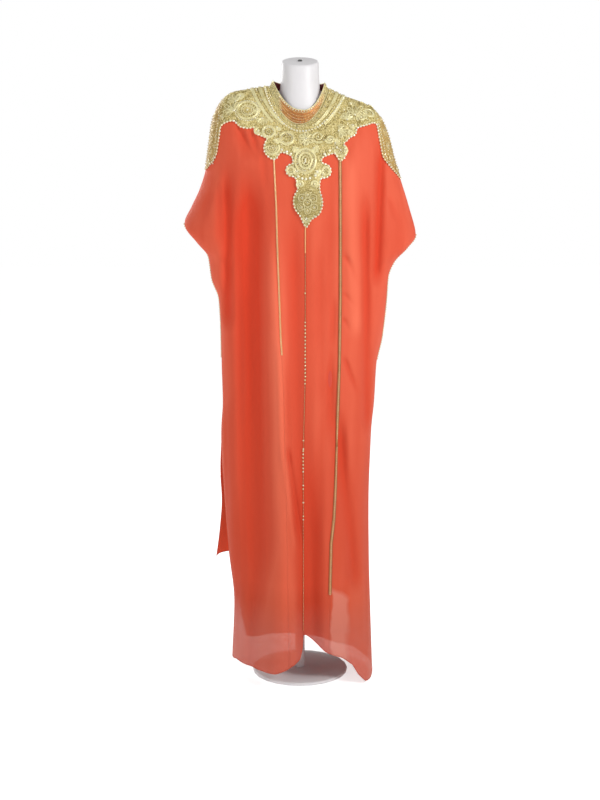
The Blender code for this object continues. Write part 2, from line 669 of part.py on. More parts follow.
def make_disc(name, radius, low, high, bevel, colour):
    """A flat round piece from low to high on the stand's axis, with eased edges."""
    bm = bmesh.new()
    bmesh.ops.create_cone(
        bm, cap_ends=True, segments=ROUND_STEPS, radius1=radius * MM, radius2=radius * MM,
        depth=(high - low) * MM,
    )
    bmesh.ops.translate(bm, verts=bm.verts, vec=(0, 0, (high + low) / 2 * MM))
    obj = finish_mesh(name, bm, colour)
    if bevel:
        eased_edge = obj.modifiers.new("eased_edge", "BEVEL")
        eased_edge.width = bevel * MM
        eased_edge.segments = 1
        eased_edge.limit_method = "ANGLE"
    return obj


def make_stand():
    torso_foot = TORSO_RINGS[-1].side_z
    flange_top = torso_foot - SEAM_GAP
    flange_low = flange_top - FLANGE_THICK
    make_disc("stand_foot", FOOT_RADIUS, 0, FOOT_THICK, 2.5, "white_form")
    make_disc("stand_flange", FLANGE_RADIUS, flange_low, flange_top, 0, "steel")
    make_disc("stand_pole", POLE_RADIUS, FOOT_THICK + SEAM_GAP, flange_low - SEAM_GAP, 0, "white_form")


def make_plug():
    """The dark screw plug in the middle of the neck's sloping top."""
    top = NECK_RINGS[0]
    slope = math.atan2(top.back_z - top.front_z, top.front + top.back)
    middle = Vector((0, 0, (top.front_z + top.back_z) / 2))
    upwards = Vector((0, -math.sin(slope), math.cos(slope)))
    bm = bmesh.new()
    bmesh.ops.create_cone(
        bm, cap_ends=True, segments=16, radius1=PLUG_RADIUS * MM, radius2=PLUG_RADIUS * 0.8 * MM,
        depth=PLUG_THICK * MM,
    )
    obj = finish_mesh("neck_plug", bm, "dark_plug")
    obj.location = (middle + upwards * (PLUG_THICK / 2 + SEAM_GAP)) * MM
    obj.rotation_euler = (slope, 0, 0)


def main():
    clear_scene()
    bpy.context.scene.collection.children.link(bpy.data.collections.new("kaftan_on_form"))
    bpy.context.scene.collection.children.link(bpy.data.collections.new("cutters"))
    steps = ring_steps()
    front = patch(FRONT, steps, front_angles)
    back = patch(BACK, steps, back_angles)
    make_panels(front, back)
    make_braids(front)
    make_yoke("yoke_back", BACK, back[:steps.index(WING) + 1], BACK_YOKE_EDGE, BACK_DOMES)
    make_yoke("yoke_front", FRONT, front[:steps.index(WING) + 1], YOKE_EDGE, FRONT_DOMES)
    make_lining("lining_front", FRONT)
    make_lining("lining_back", BACK)
    make_collar()
    open_rows = slice(steps.index(CUFF_UPPER), steps.index(UNDERARM) + 1)
    for side, column in (("left", 0), ("right", -1)):
        make_trim(f"cuff_trim_front_{side}", front[open_rows], column)
        make_trim(f"cuff_trim_back_{side}", back[open_rows], column)
    make_form()
    make_stand()
    make_plug()


main()
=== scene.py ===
"""The finish of a long coral kaftan with a beaded gold yoke, worn by a limbless dress form."""

import math
from collections import namedtuple

import bpy
import numpy as np
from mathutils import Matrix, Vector
from mathutils.bvhtree import BVHTree


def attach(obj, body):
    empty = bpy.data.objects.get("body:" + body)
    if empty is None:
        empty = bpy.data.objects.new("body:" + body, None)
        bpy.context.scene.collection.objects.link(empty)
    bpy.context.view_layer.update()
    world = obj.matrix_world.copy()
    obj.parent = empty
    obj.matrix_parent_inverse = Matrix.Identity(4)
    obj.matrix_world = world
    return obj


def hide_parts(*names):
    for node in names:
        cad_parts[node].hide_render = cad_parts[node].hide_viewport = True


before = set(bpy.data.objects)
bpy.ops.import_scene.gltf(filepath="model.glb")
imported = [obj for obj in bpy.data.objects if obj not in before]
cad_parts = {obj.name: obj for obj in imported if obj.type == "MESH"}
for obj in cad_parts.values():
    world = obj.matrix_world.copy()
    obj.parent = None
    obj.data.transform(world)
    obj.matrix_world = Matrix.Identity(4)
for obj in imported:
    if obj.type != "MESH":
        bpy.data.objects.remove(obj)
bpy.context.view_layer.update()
bpy.ops.object.select_all(action="DESELECT")

MM = 0.001
FRONT = -1
BACK = 1

# Camera and light, in metres.
CAMERA_PLACE = (0.0, -3.3, 1.25)
CAMERA_AIM = (0.0, 0.0, 0.724)
CAMERA_LENS = 58.5


def listed(kind, *rows):
    return tuple(kind(*row) for row in rows)


# The cloth, in millimetres: the same rings from neck to hem as its solids have.
Ring = namedtuple(
    "Ring",
    "name left back_left right left_z right_z front_z back_z front back belly roll left_slot right_slot",
)
RINGS = listed(
    Ring,
    ("neck", 76, 76, 70, 1508, 1503, 1412, 1490, 66, 60, 1.00, 1.6, 0, 0),
    ("collarbone", 122, 122, 110, 1502, 1484, 1384, 1474, 86, 78, 1.00, 1.7, 0, 0),
    ("mid_shoulder", 166, 166, 152, 1494, 1468, 1354, 1450, 102, 92, 0.95, 1.8, 0, 0),
    ("shoulder", 196, 196, 185, 1471, 1450, 1322, 1415, 115, 102, 0.90, 1.8, 0, 0),
    ("arm_top", 215, 215, 204, 1430, 1424, 1290, 1370, 123, 108, 0.90, 1.7, 0, 0),
    ("arm_upper", 224, 224, 220, 1378, 1384, 1258, 1320, 128, 110, 0.95, 1.5, 0, 0),
    ("arm_mid", 233, 233, 234, 1318, 1332, 1226, 1268, 131, 112, 1.00, 1.3, 0, 0),
    ("arm_lower", 250, 250, 254, 1262, 1275, 1192, 1215, 132, 113, 1.05, 1.2, 0, 0),
    ("wing", 272, 272, 273, 1216, 1216, 1158, 1165, 132, 114, 1.10, 1.0, 0, 0),
    ("tip", 290, 290, 291, 1175, 1148, 1125, 1128, 131, 114, 1.15, 1.0, 0, 0),
    ("cuff_top", 262, 262, 269, 1136, 1115, 1092, 1095, 130, 114, 1.10, 1.0, 16, 16),
    ("cuff_upper", 229, 229, 236, 1094, 1081, 1058, 1060, 129, 114, 1.05, 1.0, 27, 27),
    ("cuff_mid", 220, 220, 220, 1036, 1040, 1016, 1016, 128, 114, 1.00, 1.0, 30, 30),
    ("cuff_lower", 203, 203, 217, 984, 985, 965, 965, 127, 114, 1.00, 1.0, 24, 24),
    ("underarm", 200, 200, 208, 898, 890, 890, 890, 126, 115, 0.95, 1.0, 7, 7),
    ("waist", 200, 200, 195, 825, 820, 820, 820, 125, 116, 0.95, 1.0, 0, 0),
    ("hip", 198, 198, 190, 724, 724, 724, 724, 126, 117, 0.95, 1.0, 0, 0),
    ("thigh", 203, 203, 182, 620, 620, 620, 620, 128, 119, 0.95, 1.0, 0, 0),
    ("knee", 196, 206, 178, 0, 0, 0, 0, 131, 121, 0.95, 1.0, 0, 0),
    ("shin", 186, 203, 180, 0, 0, 0, 0, 135, 124, 0.95, 1.0, 4, 0),
    ("calf", 172, 209, 185, 0, 0, 0, 0, 139, 128, 0.95, 1.0, 8, 0),
    ("hem", 178, 219, 191, 0, 0, 0, 0, 144, 132, 0.95, 1.0, 10, 0),
)
RING_NAMES = [ring.name for ring in RINGS]
TIP, UNDERARM, WAIST, THIGH = (RING_NAMES.index(name) for name in ("tip", "underarm", "waist", "thigh"))
LAST = len(RINGS) - 1

Spot = namedtuple("Spot", "x z")
FRONT_HEM_LEFT = listed(
    Spot, (-178, 46), (-165, 54), (-143, 51), (-110, 45), (-81, 46), (-62, 48), (-45, 55), (-16, 67),
    (0, 78), (6, 100), (8, 120),
)
FRONT_HEM_RIGHT = listed(
    Spot, (7, 138), (14, 138), (47, 111), (65, 95), (105, 79), (134, 58), (150, 28), (168, 8), (192, 6),
)
BACK_HEM = listed(
    Spot, (-219, 308), (-184, 303), (-170, 190), (-145, 62), (-60, 48), (60, 46), (140, 34), (192, 12),
)
LINING_HEM = listed(Spot, (-170, 205), (-110, 186), (-60, 172), (0, 190), (60, 226), (110, 236), (170, 214))
BRAID_LEFT = listed(
    Spot, (-56, 1412), (-63, 1334), (-57, 1220), (-55, 1140), (-47, 894), (-40, 760), (-26, 40),
)
BRAID_RIGHT = listed(
    Spot, (66, 1412), (97, 1328), (98.5, 992), (97, 830), (94, 720), (91, 644), (88.5, 520), (85, 440),
    (78, 376), (76, 271), (74, 40),
)
MIDDLE_LINE = listed(Spot, (13, 1412), (13, 800), (8, 600), (8, 40))
HEM_STEP_X = 7.5

# Folds: a line down the cloth, a depth (a ridge stands out with a negative one) and a half width.
Fold = namedtuple("Fold", "name x_top x_low z_top z_low depth half_width fade")
FOLD_FOOT = 60.0
CALM_EDGE = 0.3
FRONT_FOLDS = listed(
    Fold,
    ("left_sleeve_crease", -199, -196, 1290, 1100, 6, 10, 60),
    ("left_arm_crease", -177, -180, 1330, 900, 15, 13, 90),
    ("left_long_valley", -124, -104, 1330, -60, 24, 34, 150),
    ("left_ridge", -72, -24, 1230, -60, -9, 30, 220),
    ("middle_upper_valley", -16, -4, 1250, 380, 8, 20, 200),
    ("middle_valley", 24, 27, 700, -60, 28, 30, 330),
    ("braid_valley", 92, 142, 740, 230, 16, 16, 110),
    ("right_upper_ridge", 120, 136, 1400, 880, -7, 20, 110),
    ("right_inner_crease", 158, 168, 1270, 640, 11, 12, 110),
    ("right_arm_crease", 200, 188, 1390, 1010, 15, 12, 80),
    ("hem_swell_left", -82, -84, 420, -60, -34, 58, 330),
    ("hem_swell_right", 132, 150, 380, -60, -16, 46, 300),
    ("hem_corner_right", 176, 178, 300, -60, -24, 20, 260),
    ("breast_crease_outer", -150, -124, 1416, 1320, 6, 12, 30),
    ("breast_crease_inner", -118, -100, 1404, 1318, 5, 10, 30),
)
# Lesser creases that only the finished cloth has.
FRONT_CREASES = listed(
    Fold,
    ("left_outer_ripple", -152, -146, 1240, 220, 3.5, 11, 140),
    ("left_edge_ripple", -190, -186, 860, 380, 3.5, 7, 120),
    ("left_shin_ripple", -163, -158, 560, 60, 4, 9, 150),
    ("left_valley_wall", -92, -86, 1120, 240, -3, 8, 180),
    ("left_braid_tuck", -61, -46, 1180, 860, 2.5, 6, 90),
    ("left_lap_edge", -34, 6, 640, 350, 8, 8, 50),
    ("left_lap_roll", -46, -8, 650, 330, -5, 9, 60),
    ("middle_soft", 44, 52, 1180, 720, 3, 13, 150),
    ("middle_low_roll", 58, 62, 520, 80, -5, 13, 140),
    ("braid_tuck_upper", 84, 78, 1010, 860, 3.5, 8, 50),
    ("braid_tuck_lower", 78, 72, 880, 740, 3, 8, 50),
    ("right_pucker_top", 103, 142, 1014, 966, 5.5, 6, 16),
    ("right_pucker_middle", 103, 130, 954, 900, 5.0, 6, 16),
    ("right_pucker_low", 106, 148, 858, 738, 5.5, 7, 26),
    ("right_drag", 104, 150, 1120, 1010, 2.6, 8, 30),
    ("right_soft_ridge", 122, 118, 700, 300, -3, 12, 130),
    ("right_edge_ripple", 174, 170, 640, 60, 5, 9, 150),
    ("right_wing_drag", 214, 250, 1250, 1150, 3.5, 9, 30),
    ("right_hem_flute", 112, 116, 330, -40, 5, 11, 120),
    ("left_hem_flute", -120, -126, 300, -40, 5, 12, 120),
    ("left_wing_drag", -218, -246, 1260, 1170, 2.5, 10, 30),
    ("breast_soft", -92, -80, 1360, 1240, 2.5, 8, 40),
    ("right_breast_soft", 128, 116, 1400, 1290, 2.0, 8, 40),
    ("hem_crinkle", -24, -20, 260, -40, 3.5, 8, 100),
    ("breast_line", -158, -104, 1428, 1318, 4.0, 6, 24),
    ("breast_line_inner", -122, -96, 1412, 1330, 2.5, 6, 24),
    ("left_seam_roll", -55, -44, 900, 560, -3.5, 8, 70),
    ("left_seam_dip", -39, -27, 890, 560, 3.5, 9, 70),
    ("braid_side_patch", 75, 77, 840, 640, 6.0, 10, 60),
    ("right_pucker_upper", 106, 132, 1106, 1056, 4.0, 6, 16),
)
BACK_FOLDS = listed(
    Fold,
    ("back_left_crease", -186, -188, 1330, 900, 13, 14, 90),
    ("back_left_valley", -120, -128, 1300, -60, 20, 34, 200),
    ("back_middle_ridge", -8, -4, 1250, -60, -12, 44, 260),
    ("back_right_valley", 86, 96, 1280, -60, 18, 34, 220),
    ("back_right_crease", 186, 184, 1330, 700, 12, 14, 100),
    ("back_hem_swell", -60, -62, 420, -60, -18, 50, 300),
)
BACK_CREASES = listed(
    Fold,
    ("back_left_ripple", -152, -158, 1220, 500, 4, 11, 150),
    ("back_left_inner", -78, -84, 1200, 120, -3.5, 11, 170),
    ("back_left_soft", -44, -40, 1050, 300, 4, 13, 200),
    ("back_middle_soft", 34, 40, 1180, 160, 4.5, 13, 190),
    ("back_right_inner", 60, 64, 900, 60, -3.5, 12, 160),
    ("back_right_ripple", 136, 132, 1220, 300, -4, 12, 170),
    ("back_right_outer", 160, 156, 900, 60, 5, 10, 150),
    ("back_hem_flute_left", -104, -108, 330, -40, 5, 12, 140),
    ("back_hem_flute_right", 12, 8, 300, -40, 5, 12, 120),
    ("back_shoulder_drag_left", -134, -104, 1420, 1300, 3.5, 11, 40),
    ("back_shoulder_drag_right", 128, 100, 1410, 1300, 3.5, 11, 40),
)
RIPPLE_HEIGHT = 0.9

# The lobed edge of the gold work. Its ends, down the upper arms, are alike in front and behind.
ARM_EDGE_LEFT = listed(
    Spot, (-300, 1306), (-231, 1306), (-222, 1318), (-212, 1326), (-203, 1343), (-199, 1367),
)
ARM_EDGE_RIGHT = listed(
    Spot, (196, 1366), (200, 1345), (209, 1328), (222, 1312), (238, 1296), (252, 1280), (300, 1276),
)
YOKE_EDGE = ARM_EDGE_LEFT + listed(
    Spot, (-195, 1393), (-193, 1412), (-178, 1420), (-162, 1424), (-151, 1414), (-140, 1407), (-131, 1404),
    (-121, 1404), (-112, 1408), (-110, 1398), (-106, 1390), (-96, 1386), (-86, 1382), (-78, 1377),
    (-84, 1370), (-87, 1358), (-85, 1346), (-78, 1337), (-70, 1331), (-60, 1328), (-54, 1334), (-51, 1342),
    (-44, 1347), (-36, 1344), (-27, 1340), (-20, 1338), (-17, 1328), (-16, 1318), (-24, 1317), (-31, 1312),
    (-34, 1303), (-31, 1294), (-23, 1289), (-12, 1288), (-8, 1279), (-6, 1267), (-4, 1258), (-11, 1248),
    (-15, 1236), (-15, 1222), (-10, 1208), (-1, 1198), (4, 1188), (8, 1177), (15, 1166), (22, 1177),
    (27, 1187), (38, 1193), (47, 1200), (52, 1212), (54, 1226), (52, 1240), (48, 1250), (46, 1262),
    (47, 1275), (50, 1285), (62, 1285), (71, 1290), (75, 1300), (72, 1311), (64, 1317), (54, 1318),
    (50, 1326), (54, 1334), (66, 1339), (80, 1344), (87, 1342), (90, 1333), (96, 1327), (103, 1327),
    (109, 1335), (111, 1346), (109, 1358), (104, 1367), (114, 1374), (120, 1382), (132, 1386), (137, 1395),
    (136, 1403), (144, 1407), (152, 1409), (165, 1413), (178, 1419), (187, 1416), (190, 1400), (192, 1385),
) + ARM_EDGE_RIGHT
BACK_YOKE_EDGE = ARM_EDGE_LEFT + listed(
    Spot, (-196, 1440), (-172, 1426), (-150, 1430), (-126, 1416), (-100, 1420), (-76, 1404), (-50, 1412),
    (-26, 1392), (0, 1386), (26, 1392), (50, 1412), (76, 1404), (100, 1420), (126, 1414), (150, 1428),
    (172, 1424), (190, 1432),
) + ARM_EDGE_RIGHT

# Padding under the medallions.
Dome = namedtuple("Dome", "x z radius height")
FRONT_DOMES = listed(
    Dome, (-128, 1445, 38, 2.4), (-76, 1394, 22, 1.8), (-32, 1378, 21, 1.8), (15, 1378, 22, 1.8),
    (44, 1381, 20, 1.8), (70, 1375, 16, 1.6), (110, 1396, 22, 1.8), (149, 1441, 36, 2.4),
    (13, 1325, 31, 2.6), (-66, 1353, 20, 1.8), (98, 1348, 19, 1.8), (3, 1272, 13, 1.4), (33, 1271, 13, 1.4),
    (-22, 1302, 12, 1.4), (62, 1301, 12, 1.4), (18, 1226, 34, 2.4),
)
BACK_DOMES = listed(
    Dome, (-137, 1460, 32, 1.8), (139, 1452, 32, 1.8), (-70, 1446, 28, 1.6), (70, 1446, 28, 1.6),
    (0, 1432, 32, 2.0),
)

# Thicknesses, gaps and lifts.
CHIFFON = 0.9
LINING = 0.9
LINING_INSET = 1.6
LINING_SEAM_GAP = 0.1
LINING_CLEARANCE = 4.0
LINING_EASE = 22.0
LINING_SLIT = 2.0
LINING_RINGS = 2.5
LINING_CALM = 0.75
LEAST_CALM = 0.001
HALF_STEP = 0.5
GROUND_LIFT = 1.9
GROUND = 1.4
WORK_LIFT = 2.6
HALVINGS = 28


def smooth(t):
    t = np.clip(t, 0, 1)
    return t * t * (3 - 2 * t)


class Track:
    """A smooth run through evenly spaced values, with no overshoot between them."""

    def __init__(self, values):
        self.values = np.array(values, float)
        steps = np.diff(self.values)
        before, after = steps[:-1], steps[1:]
        same_way = before * after > 0
        inner = np.where(same_way, 2 * before * after / np.where(same_way, before + after, 1), 0)
        self.slopes = np.concatenate([steps[:1], inner, steps[-1:]])

    def __call__(self, v):
        low = np.clip(np.floor(v).astype(int), 0, len(self.values) - 2)
        t = v - low
        start, end = self.slopes[low], self.slopes[low + 1]
        rise = self.values[low + 1] - self.values[low]
        return (
            self.values[low] + start * t + (3 * rise - 2 * start - end) * t**2
            + (start + end - 2 * rise) * t**3
        )


TRACKS = {column: Track([getattr(ring, column) for ring in RINGS]) for column in Ring._fields[1:]}


def along(spots, x):
    return np.interp(x, [spot.x for spot in spots], [spot.z for spot in spots])


def run_at(spots, z):
    """The x of a line that runs down through spots, at height z."""
    return np.interp(z, [spot.z for spot in spots][::-1], [spot.x for spot in spots][::-1])


def fold_depth(folds, x, z):
    total = np.zeros_like(x)
    for fold in folds:
        share = np.clip((fold.z_top - z) / (fold.z_top - fold.z_low), 0, 1)
        line = fold.x_top + (fold.x_low - fold.x_top) * share
        window = smooth((fold.z_top - z) / fold.fade) * smooth((z - fold.z_low) / FOLD_FOOT)
        total += fold.depth * window * np.exp(-(((x - line) / fold.half_width) ** 2))
    return total


def ripples(face, x, z):
    """The faint unevenness of hanging chiffon: long, shallow and nowhere in step."""
    down = smooth((1400 - z) / 300)
    wander = 9 * np.sin(z / 171 + face) + 5 * np.sin(z / 83 + 1.3)
    waves = (
        np.sin((x + wander) / 7.3 + 0.6 * face) + 0.8 * np.sin((x - 0.7 * wander) / 11.9 + 2.1)
        + 0.6 * np.sin((x + 0.4 * wander) / 4.6 + z / 260)
    )
    patches = 0.5 + 0.5 * np.sin(x / 57 + z / 190) * np.sin(z / 130 - x / 91)
    return RIPPLE_HEIGHT * down * waves * patches


def cloth(face, phi, v, calm=0.0, side=0):
    """Points of the cloth in millimetres, and how deep each lies in a fold. phi runs from -90 degrees
    at the left edge to +90 at the right one. v counts the rings. calm eases the folds."""
    phi, v = np.broadcast_arrays(np.asarray(phi, float), np.asarray(v, float))
    sine, cosine = np.sin(phi), np.maximum(0, np.cos(phi))
    right = sine >= 0
    half = np.where(right, TRACKS["right"](v), TRACKS["left" if face == FRONT else "back_left"](v))
    x = half * sine
    slot = np.maximum(0, np.where(right, TRACKS["right_slot"](v), TRACKS["left_slot"](v)))
    depth = TRACKS["front" if face == FRONT else "back"](v)
    y = slot + (depth - slot) * cosine ** TRACKS["belly"](v)
    hang = np.minimum(v, THIGH)
    z_side = np.where(right, TRACKS["right_z"](hang), TRACKS["left_z"](hang))
    z_middle = TRACKS["front_z" if face == FRONT else "back_z"](hang)
    z = z_side + (z_middle - z_side) * cosine ** TRACKS["roll"](hang)
    if face == FRONT:
        left_of_middle = x + side < HEM_STEP_X
        hem = np.where(left_of_middle, along(FRONT_HEM_LEFT, x), along(FRONT_HEM_RIGHT, x))
        folds, creases = FRONT_FOLDS, FRONT_CREASES
    else:
        hem = along(BACK_HEM, x)
        folds, creases = BACK_FOLDS, BACK_CREASES
    z = np.where(v > THIGH, z + (hem - z) * (v - THIGH) / (LAST - THIGH), z)
    deep = fold_depth(folds, x, z) * (1 - calm)
    if calm == 0:
        deep = deep + fold_depth(creases, x, z) + ripples(face, x, z)
    deep = deep * smooth(cosine / CALM_EDGE)
    return np.stack([x, face * (y - deep), z], -1), deep


def unit(vectors):
    return vectors / np.maximum(np.linalg.norm(vectors, axis=-1, keepdims=True), 1e-9)


def normals_of(points, face, seam_edges=()):
    """Outward normals of a grid of points, rows down and columns to the right."""
    across = np.gradient(points, axis=1)
    down = np.gradient(points, axis=0)
    normals = np.cross(across, down) * face
    for column in seam_edges:
        normals[:, column, 1] = 0
    return unit(normals)


def angle_of(x, v):
    half = np.where(np.asarray(x) >= 0, TRACKS["right"](v), TRACKS["left"](v))
    return np.arcsin(np.clip(x / half, -1, 1))


def height_of(face, phi, v):
    return cloth(face, phi, v, calm=1)[0][..., 2]


def rings_down_to(z, height, first, last):
    """The ring counts, from first to last, at which the cloth comes down to z."""
    low, high = np.full_like(z, first), np.full_like(z, last)
    for _ in range(HALVINGS):
        middle = (low + high) / 2
        above = height(middle) > z
        low, high = np.where(above, middle, low), np.where(above, high, middle)
    return low


def place(face, x, z, first=0, last=THIGH):
    """The angle and the ring count of the cloth's points at x and z."""
    x, z = np.broadcast_arrays(np.asarray(x, float), np.asarray(z, float))
    v = rings_down_to(z, lambda count: height_of(face, angle_of(x, count), count), first, last)
    return angle_of(x, v), v


# Building meshes.

def new_object(name, data):
    obj = bpy.data.objects.new(name, data)
    bpy.context.scene.collection.objects.link(obj)
    return obj


def pick(obj):
    """Makes this the one object that is selected and active."""
    bpy.ops.object.select_all(action="DESELECT")
    obj.select_set(True)
    bpy.context.view_layer.objects.active = obj


def note(obj, name, values):
    """Writes a value at each point of a mesh, for its material to read."""
    obj.data.attributes.new(name, "FLOAT", "POINT").data.foreach_set("value", np.ravel(values).astype(float))


def shape(name, points, faces):
    """A mesh object from points in millimetres and faces that all have the same number of sides."""
    points, faces = np.asarray(points, float).reshape(-1, 3) * MM, np.asarray(faces, int)
    mesh = bpy.data.meshes.new(name)
    mesh.vertices.add(len(points))
    mesh.vertices.foreach_set("co", points.ravel())
    mesh.loops.add(faces.size)
    mesh.loops.foreach_set("vertex_index", faces.ravel())
    mesh.polygons.add(len(faces))
    mesh.polygons.foreach_set("loop_start", np.arange(len(faces)) * faces.shape[1])
    mesh.update(calc_edges=True)
    mesh.validate()
    mesh.shade_smooth()
    return new_object(name, mesh)


def apply_modifiers(obj):
    pick(obj)
    for modifier in list(obj.modifiers):
        bpy.ops.object.modifier_apply(modifier=modifier.name)
    obj.select_set(False)


def thicken(obj, thickness):
    wall = obj.modifiers.new("wall", "SOLIDIFY")
    wall.thickness = thickness * MM
    wall.offset = 0
    apply_modifiers(obj)


def numbered(grid):
    return np.arange(grid[..., 0].size).reshape(grid.shape[:2])


def quads(index, face):
    """The faces between a grid of point numbers, turned to look outwards."""
    a, b, c, d = index[:-1, :-1], index[:-1, 1:], index[1:, 1:], index[1:, :-1]
    return np.stack((a, d, c, b) if face == FRONT else (a, b, c, d), -1)


def lay_uvs(obj, grid, faces):
    """Measures the cloth in metres across and down, so that its weave follows its threads."""
    across = np.linalg.norm(np.diff(grid, axis=1), axis=-1).mean(0)
    down = np.linalg.norm(np.diff(grid, axis=0), axis=-1).mean(1)
    u = np.concatenate([[0], np.cumsum(across)]) * MM
    v = -np.concatenate([[0], np.cumsum(down)]) * MM
    flat = np.stack(np.broadcast_arrays(u[None, :], v[:, None]), -1).reshape(-1, 2)
    layer = obj.data.uv_layers.new(name="threads")
    layer.data.foreach_set("uv", flat[faces.ravel()].ravel())


def sheet_of(name, face, grid, thickness, deep=None, closed=False):
    """A thin shell of cloth on a grid of points, rows down and columns to the right."""
    index = numbered(grid)
    if closed:
        index = np.concatenate([index, index[:, :1]], axis=1)
    faces = quads(index, face).reshape(-1, 4)
    obj = shape(name, grid, faces)
    lay_uvs(obj, grid, faces)
    if deep is not None:
        note(obj, "deep", deep)
    thicken(obj, thickness)
    return obj


def mark_inside(obj):
    """Marks the wall of a shell that faces the middle of the garment."""
    points = np.array([vertex.co for vertex in obj.data.vertices])
    reach = np.hypot(points[:, 0], points[:, 1])
    walls = np.arange(len(points)) < len(points) // 2
    inside = walls if reach[walls].mean() < reach[~walls].mean() else ~walls
    note(obj, "inside", inside)


def finish(obj, material, slot, *nodes):
    obj.data.materials.clear()
    obj.data.materials.append(material)
    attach(obj, "root")
    if nodes:
        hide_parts(*nodes)
    return obj


# Shader maths.

class Wire:
    """A socket with the operators that the materials use."""

    def __init__(self, finish_of, socket):
        self.finish_of = finish_of
        self.socket = socket

    def _math(self, operation, other, **settings):
        settings["operation"] = operation
        return self.finish_of.node("ShaderNodeMath", settings, {0: self, 1: other})

    def __add__(self, other):
        return self._math("ADD", other)

    def __sub__(self, other):
        return self._math("SUBTRACT", other)

    def __mul__(self, other):
        return self._math("MULTIPLY", other)

    def __abs__(self):
        return self._math("ABSOLUTE", 0.0)

    def clamp(self):
        return self._math("ADD", 0.0, use_clamp=True)


class Finish:
    """A material with its Principled shader, and one method that adds any other node."""

    def __init__(self, name, **values):
        self.material = bpy.data.materials.new(name)
        self.material.use_nodes = True
        self.nodes = self.material.node_tree.nodes
        self.links = self.material.node_tree.links
        self.shader = self.nodes["Principled BSDF"]
        for socket, value in values.items():
            self.shader.inputs[socket.replace("_", " ")].default_value = value

    def node(self, kind, settings=None, inputs=None, output=0):
        made = self.nodes.new(kind)
        for name, value in (settings or {}).items():
            if name == "stops":
                ramp = made.color_ramp
                while len(ramp.elements) < len(value):
                    ramp.elements.new(0.5)
                for element, (at, colour) in zip(ramp.elements, value):
                    element.position = at
                    element.color = colour
            else:
                setattr(made, name, value)
        for name, value in (inputs or {}).items():
            if isinstance(value, Wire):
                self.links.new(value.socket, made.inputs[name])
            else:
                made.inputs[name].default_value = value
        return Wire(self, made.outputs[output])

    def feed(self, socket, wire):
        self.links.new(wire.socket, self.shader.inputs[socket])

    def place(self):
        return self.node("ShaderNodeTexCoord", output="Object")

    def attribute(self, name):
        return self.node("ShaderNodeAttribute", {"attribute_name": name}, output="Fac")

    def part(self, vector, axis):
        return self.node("ShaderNodeSeparateXYZ", {}, {0: vector}, output=axis)

    def noise(self, vector, scale, detail=2.0):
        settings = {"Vector": vector, "Scale": scale, "Detail": detail}
        return self.node("ShaderNodeTexNoise", {}, settings, "Fac")

    def grain(self, vector, scales, detail=2.0):
        """Noise with its own scale along each axis."""
        drawn_out = self.node("ShaderNodeMapping", {}, {"Vector": vector, "Scale": scales})
        return self.noise(drawn_out, 1.0, detail)

    def threads_of(self, direction, scale):
        """Straight threads that follow the cloth's own lines."""
        settings = {"Vector": self.node("ShaderNodeUVMap", {"uv_map": "threads"}), "Scale": scale}
        return self.node("ShaderNodeTexWave", {"bands_direction": direction}, settings)

    def mottle(self, pattern, dark, pale):
        """Two close tones over the whole piece."""
        self.feed("Base Color", self.ramp(pattern, (0.3, dark), (0.7, pale)))

    def ramp(self, value, *stops):
        return self.node("ShaderNodeValToRGB", {"stops": stops}, {"Fac": value}, output="Color")

    def mix(self, factor, one, other):
        return self.node("ShaderNodeMix", {"data_type": "RGBA"}, {0: factor, 6: one, 7: other}, output=2)

    def span(self, value, low, high, out_low=0.0, out_high=1.0):
        return self.node("ShaderNodeMapRange", {}, {0: value, 1: low, 2: high, 3: out_low, 4: out_high})

    def bump(self, height, distance, strength=1.0):
        settings = {"Strength": strength, "Distance": distance, "Height": height}
        self.feed("Normal", self.node("ShaderNodeBump", {}, settings))


# Coral tones: the brightest is painted light on fold ridges, the deep one painted shade in fold valleys.
LIT_RIDGE_CORAL = (0.92, 0.182, 0.096, 1)
MID_CORAL = (0.755, 0.098, 0.046, 1)
FOLD_SHADE_CORAL = (0.72, 0.056, 0.020, 1)
# Painted shade: the chiffon's tone towards the hem.
LOW_SHADE_CORAL = (0.54, 0.062, 0.024, 1)
# Painted light: the hem's paler tone where the backdrop shows through one layer.
HEM_BACKLIT_PINK = (0.66, 0.17, 0.12, 1)
# Painted light: a patch's paler tone where the backdrop shows through the chiffon.
PATCH_BACKLIT_PINK = (0.78, 0.29, 0.21, 1)
# A painted glow that stands in for light through the cloth from behind.
FLAP_GLOW = (0.26, 0.036, 0.016, 1)
PALE_GOLD = (1.0, 0.90, 0.50, 1)
GOLD = (0.84, 0.70, 0.28, 1)
DARK_GOLD = (0.25, 0.18, 0.045, 1)
WHITE_GOLD = (1.0, 0.98, 0.82, 1)
BROWN_GOLD = (0.52, 0.29, 0.07, 1)
BURGUNDY = (0.16, 0.010, 0.014, 1)
OLIVE_GOLD = (0.36, 0.28, 0.09, 1)
WEAVE_THREADS = 1400.0
TWILL_THREADS = 900.0

# Painted shade and light in the folds: the chiffon's colour is brightest at the first depth of a fold and
# darkest at the second, in millimetres.
FOLD_LIGHT = (-9.0, 17.0)

# Where the chiffon changes, in metres: each pair is where a change starts and where it is full.
# Painted shade: the chiffon is painted darker from here down towards the hem.
LOWER_SHADE_Z = (0.95, 0.30)
# Painted light: below the lining the hem is painted paler, for the backdrop's light showing through it.
HEM_Z = (0.22, 0.12)
SHEER_Z = (0.27, 0.15)
SHEER_ALPHA = 0.76
# Painted light: a slanting patch in front, painted paler as if the backdrop showed through.
PATCH_LEFT, PATCH_RIGHT = (0.079, 0.084), (0.128, 0.116)
PATCH_TOP = (0.330, 0.314)
PATCH_SLANT = 0.75
FRONT_Y = (0.0, -0.02)
# Where the back's inner wall gets its painted glow.
FLAP_X = (-0.160, -0.185)
FLAP_Z = (0.84, 0.52)


